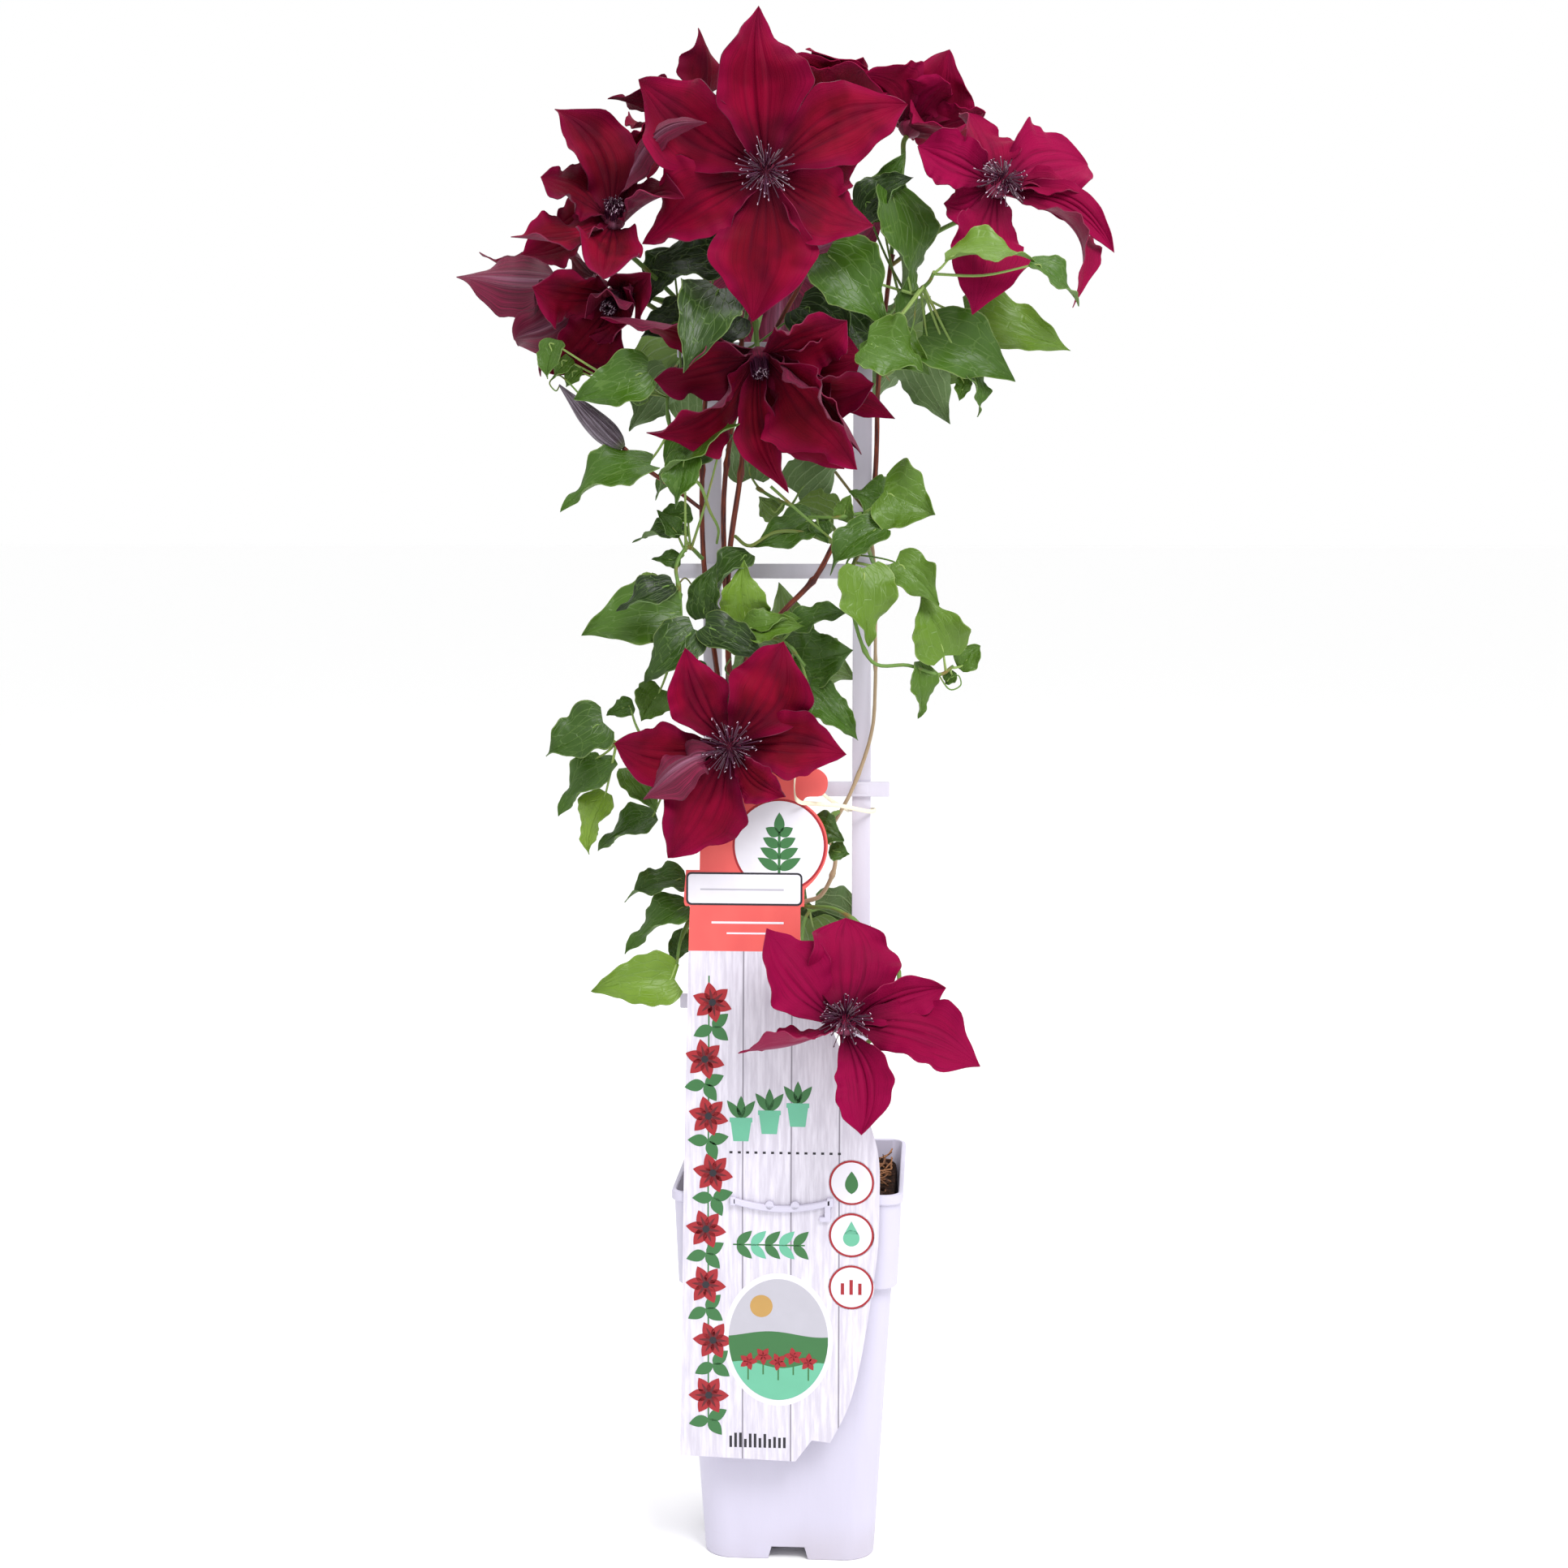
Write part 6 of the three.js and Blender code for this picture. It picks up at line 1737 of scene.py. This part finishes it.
class Motifs:
    # flat inks, a hair proud of the card; a higher level lies on the one below
    def __init__(self, form):
        self.form = form

    def shape(self, points, ink, level=0):
        thick = labelForm["print"]
        lift = labelForm["thickness"] / 2 + level * thick * 0.6 - labelForm["sunk"]
        flatShape(self.form, points, lift, thick, 1 + list(inks).index(ink))

    def disc(self, x, z, radius, ink, level=0, squash=1.0, count=32):
        self.shape(circle(x, z, radius, count, squash), ink, level)

    def bar(self, x0, x1, z0, z1, ink, level=0):
        self.shape([(x0, z0), (x1, z0), (x1, z1), (x0, z1)], ink, level)

    def plate(self, x0, x1, z0, z1, corner, ink, level):
        # a bar with round corners
        points = []
        for x, z, start in ((x1, z1, 0), (x0, z1, 1), (x0, z0, 2), (x1, z0, 3)):
            middleX = x - corner if x == x1 else x + corner
            middleZ = z - corner if z == z1 else z + corner
            for k in range(5):
                angle = math.pi / 2 * (start + k / 4)
                points.append((middleX + corner * math.cos(angle), middleZ + corner * math.sin(angle)))
        self.shape(points, ink, level)

    def blossom(self, x, z, radius, count, turn, level):
        for petal in flowerShape(x, z, radius, count, turn):
            self.shape(petal, "red", level)

    def head(self):
        # a white disc with a plain sprig, a bare name plate, and a band with two pale rules
        x, z = -4.5, 390.6
        self.disc(x, z, 24.6, "red", 0, count=64)
        self.disc(x, z, 23.4, "white", 1, count=64)
        self.bar(x - 0.7, x + 0.7, 374, 398, "green", 2)
        for k, low in enumerate((378, 384, 390, 396)):
            for way in (0.5, 2.64):
                self.shape(leafShape(x, low, 13 - k * 1.6, 5.4, way), "green", 2)
        self.shape(leafShape(x, 397, 11, 5.6, 1.57), "green", 2)
        self.plate(-53.4, 7.8, 359.2, 376.4, 2.6, "dark", 3)
        self.plate(-52.4, 6.8, 360.2, 375.4, 1.8, "white", 4)
        self.bar(-46, -2, 367, 367.9, "grey", 5)
        self.bar(-40, -2, 349.5, 350.6, "white", 0)
        self.bar(-32, -10, 344, 344.9, "white", 0)

    def badge(self, z, sign):
        # a round badge at the right edge, with a plain leaf, drop or bars
        x, radius = labelForm["badgeX"], labelForm["badgeRadius"]
        self.disc(x, z, radius - 0.4, "red", 0, count=48)
        self.disc(x, z, radius - 1.5, "white", 1, count=48)
        if sign == 0:
            self.shape(leafShape(x, z - 6, 12, 7, 1.57), "green", 2)
        elif sign == 1:
            self.disc(x, z - 1.6, 4.4, "mint", 2)
            self.shape([(x - 3.8, z + 0.6), (x + 3.8, z + 0.6), (x, z + 7.6)], "mint", 2)
        else:
            for dx in (-4.6, 0, 4.6):
                self.bar(x + dx - 0.9, x + dx + 0.9, z - 4, z + 4 - abs(dx) * 0.4, "red", 2)

    def pots(self):
        # a row of three pots with sprigs, and a row of leaves below the strap
        for k, x in enumerate((-24, -9, 6)):
            low = 235 + 4 * k
            self.shape([(x - 4, low), (x + 4, low), (x + 5.4, low + 10), (x - 5.4, low + 10)], "mint", 0)
            self.bar(x - 6, x + 6, low + 10, low + 12.4, "mint", 0.6)
            for turn in (0.9, 1.57, 2.24):
                self.shape(leafShape(x, low + 12, 12, 4.6, turn), "green", 0)
        self.bar(-28, 10, 179.6, 180.4, "green", 0)
        for k in range(5):
            for turn in (0.75, -0.75):
                self.shape(leafShape(-26 + 7.5 * k, 180, 11, 5, turn), "mint" if k % 2 else "green", 0)

    def border(self):
        # a climbing border of red blossoms up the left edge
        self.bar(-41.6, -40.8, 84, 322, "green", 0)
        for k in range(8):
            z = 98 + 30 * k
            x = -41 + 2.4 * math.sin(k * 1.9)
            for turn in (0.5, 3.4, 5.4):
                self.shape(leafShape(x, z - 13, 11, 6.4, turn + 0.3 * math.sin(k)), "green", 0.6)
            self.blossom(x, z, 10.8, 6, k, 1.4)
            for m in range(6):
                self.shape(leafShape(x, z, 7.6, 1.5, k + math.pi * m / 3), "wine", 2.4)
            self.disc(x, z, 1.9, "dark", 3.4, count=16)

    def garden(self):
        # an oval garden view in a white frame
        x, z, rim, squash = -4, 129, 29, 1.24
        wide = rim - 2.6
        self.disc(x, z, rim, "white", 0.4, squash, count=64)
        self.disc(x, z, wide, "grey", 1.2, squash, count=64)

        def land(level, share, waves, shift, ink):
            # a strip of land across the oval, up to a waved edge
            angles = [math.asin(share) + k / 24 * (-math.pi - 2 * math.asin(share)) for k in range(25)]
            low = [(x + wide * math.cos(a), z + wide * squash * math.sin(a)) for a in angles]
            side = abs(low[0][0] - x)
            top = [(x - side + 2 * side * k / 16,
                    low[0][1] + 3 * math.sin(math.pi * k / 16) * math.sin(waves * k / 16 + shift))
                   for k in range(1, 16)]
            self.shape([*low, *top], ink, level)

        land(2, 0.05, 3, 0.6, "green")
        land(3, -0.38, 5, 2, "mint")
        self.disc(x - 9, z + 18, 6, "ochre", 2)
        for k in range(5):
            left, low = x - 16 + 8 * k, z - 22 + 3 * (k % 2)
            self.bar(left - 0.4, left + 0.4, low, low + 8, "green", 3.6)
            self.blossom(left, low + 10, 5, 5, k, 4)

    def strokes(self):
        # a dotted rule, and bars at the foot of the card
        for k in range(14):
            self.bar(-30 + 4.4 * k, -28.4 + 4.4 * k, 228.5, 229.7, "dark", 0)
        for k in range(12):
            high = 4 + 4 * jitter(k, 71)
            self.bar(-30 + 2.6 * k, -28.6 + 2.6 * k, 70, 70 + high, "dark", 0)


def addLabel(form):
    thick, x, radius = labelForm["thickness"], labelForm["badgeX"], labelForm["badgeRadius"]
    flatShape(form, cardCurve(), -thick / 2, thick, 0)
    for z in labelForm["badges"]:
        flatShape(form, circle(x, z, radius, 48), -thick / 2, thick, 1)
    motifs = Motifs(form)
    motifs.head()
    for sign, z in enumerate(labelForm["badges"]):
        motifs.badge(z, sign)
    motifs.pots()
    motifs.border()
    motifs.garden()
    motifs.strokes()
    bendCard(form)


label = Form()
addLabel(label)
inkMaterials = [inkFinish(index, ink) for index, ink in enumerate(inks.values())]
label.finish("hangingLabel", "label", "label", [cardFinish(), *inkMaterials], turned=False, crease=28)
print("label")


# An elastic loop round the label's hook and the right rail.
tieForm = {
    "loop": [
        (7.6, -50.6, 413.6), (3.6, -50, 420), (5.4, -45.2, 433.4), (11, -39.6, 424), (20, -16, 412),
        (28.6, 8, 403.4), (31, 14.4, 402.6), (42.6, 14.4, 402.6), (44, 8, 402.8), (40, 0.5, 403.4),
        (24, -24, 409.5),
    ],
    "wide": 1.1,
    "thick": 0.4,
    "perSpan": 6,
    "sides": 8,
}


def addTie(form):
    # the loop is smoothed past both its ends, and only one round of it is kept
    points = [Vector(p) for p in tieForm["loop"]]
    perSpan = tieForm["perSpan"]
    line = smoothLine([points[-1], *points, points[0], points[1]], perSpan)
    line = line[perSpan:-2 * perSpan]
    count, sides = len(line), tieForm["sides"]

    def place(column, row):
        i = row % count
        ahead = (line[(i + 1) % count] - line[i - 1]).normalized()
        out = ahead.cross(upward).normalized()
        lift = out.cross(ahead)
        angle = 2 * math.pi * (column % sides) / sides
        return line[i] + out * tieForm["thick"] * math.cos(angle) + lift * tieForm["wide"] * math.sin(angle)

    form.grid(sides, count, place, 0, 0)


tie = Form()
addTie(tie)
tie.finish("elasticTie", "tie", "tie", [elasticFinish()], turned=False, crease=80)
print("tie")


# Place, aim, size and power of each light, in metres and watts.
lightForm = {
    "key": {"location": (0.8, -1.3, 2.0), "target": (0, 0, 0.5), "size": 0.9, "power": 44.0},
    "fill": {"location": (-1.5, -1.1, 0.9), "target": (0, 0, 0.4), "size": 1.4, "power": 0.6},
    "top": {"location": (0, 0.4, 2.0), "target": (0, 0, 0.5), "size": 1.0, "power": 7.0},
}
worldForm = {"colour": (1, 1, 1, 1), "strength": 1.0}
floorForm = {"half": 40, "colour": (0.99, 0.99, 0.99, 1), "roughness": 0.7}
# location and target in millimetres
cameraForm = {
    "location": (80.2, -1354.6, 565.4),
    "target": (-5.0, -0.3, 418.0),
    "lens": 57.76,
    "sensor": 36,
}


def makeFloor():
    floor = bmesh.new()
    bmesh.ops.create_grid(floor, x_segments=1, y_segments=1, size=floorForm["half"])
    data = bpy.data.meshes.new("floor")
    floor.to_mesh(data)
    floor.free()
    finish = Finish("floorPale", floorForm["roughness"])
    finish.set("Base Color", floorForm["colour"])
    data.materials.append(finish.material)
    sheet = bpy.data.objects.new("floor", data)
    bpy.context.scene.collection.objects.link(sheet)


def setUp(name, data, location, target):
    # an object at a place in the room, turned to look at the target
    thing = bpy.data.objects.new(name, data)
    thing.location = location
    thing.rotation_euler = (target - location).to_track_quat("-Z", "Y").to_euler()
    bpy.context.scene.collection.objects.link(thing)
    return thing


def addLight(name, light):
    data = bpy.data.lights.new(name, "AREA")
    data.energy = light["power"]
    data.size = light["size"]
    setUp(name, data, Vector(light["location"]), Vector(light["target"]))


def makeWorld():
    world = bpy.data.worlds.new("studio")
    world.use_nodes = True
    back = world.node_tree.nodes["Background"]
    back.inputs["Color"].default_value = worldForm["colour"]
    back.inputs["Strength"].default_value = worldForm["strength"]
    bpy.context.scene.world = world


def makeCamera():
    data = bpy.data.cameras.new("camera")
    data.lens = cameraForm["lens"]
    data.sensor_width = cameraForm["sensor"]
    location, target = Vector(cameraForm["location"]) * mm, Vector(cameraForm["target"]) * mm
    bpy.context.scene.camera = setUp("camera", data, location, target)


makeFloor()
makeWorld()
for name, light in lightForm.items():
    addLight(name, light)
makeCamera()
bpy.context.scene.view_settings.view_transform = "Standard"
print("floor, lights and camera")

print("all pieces in place")
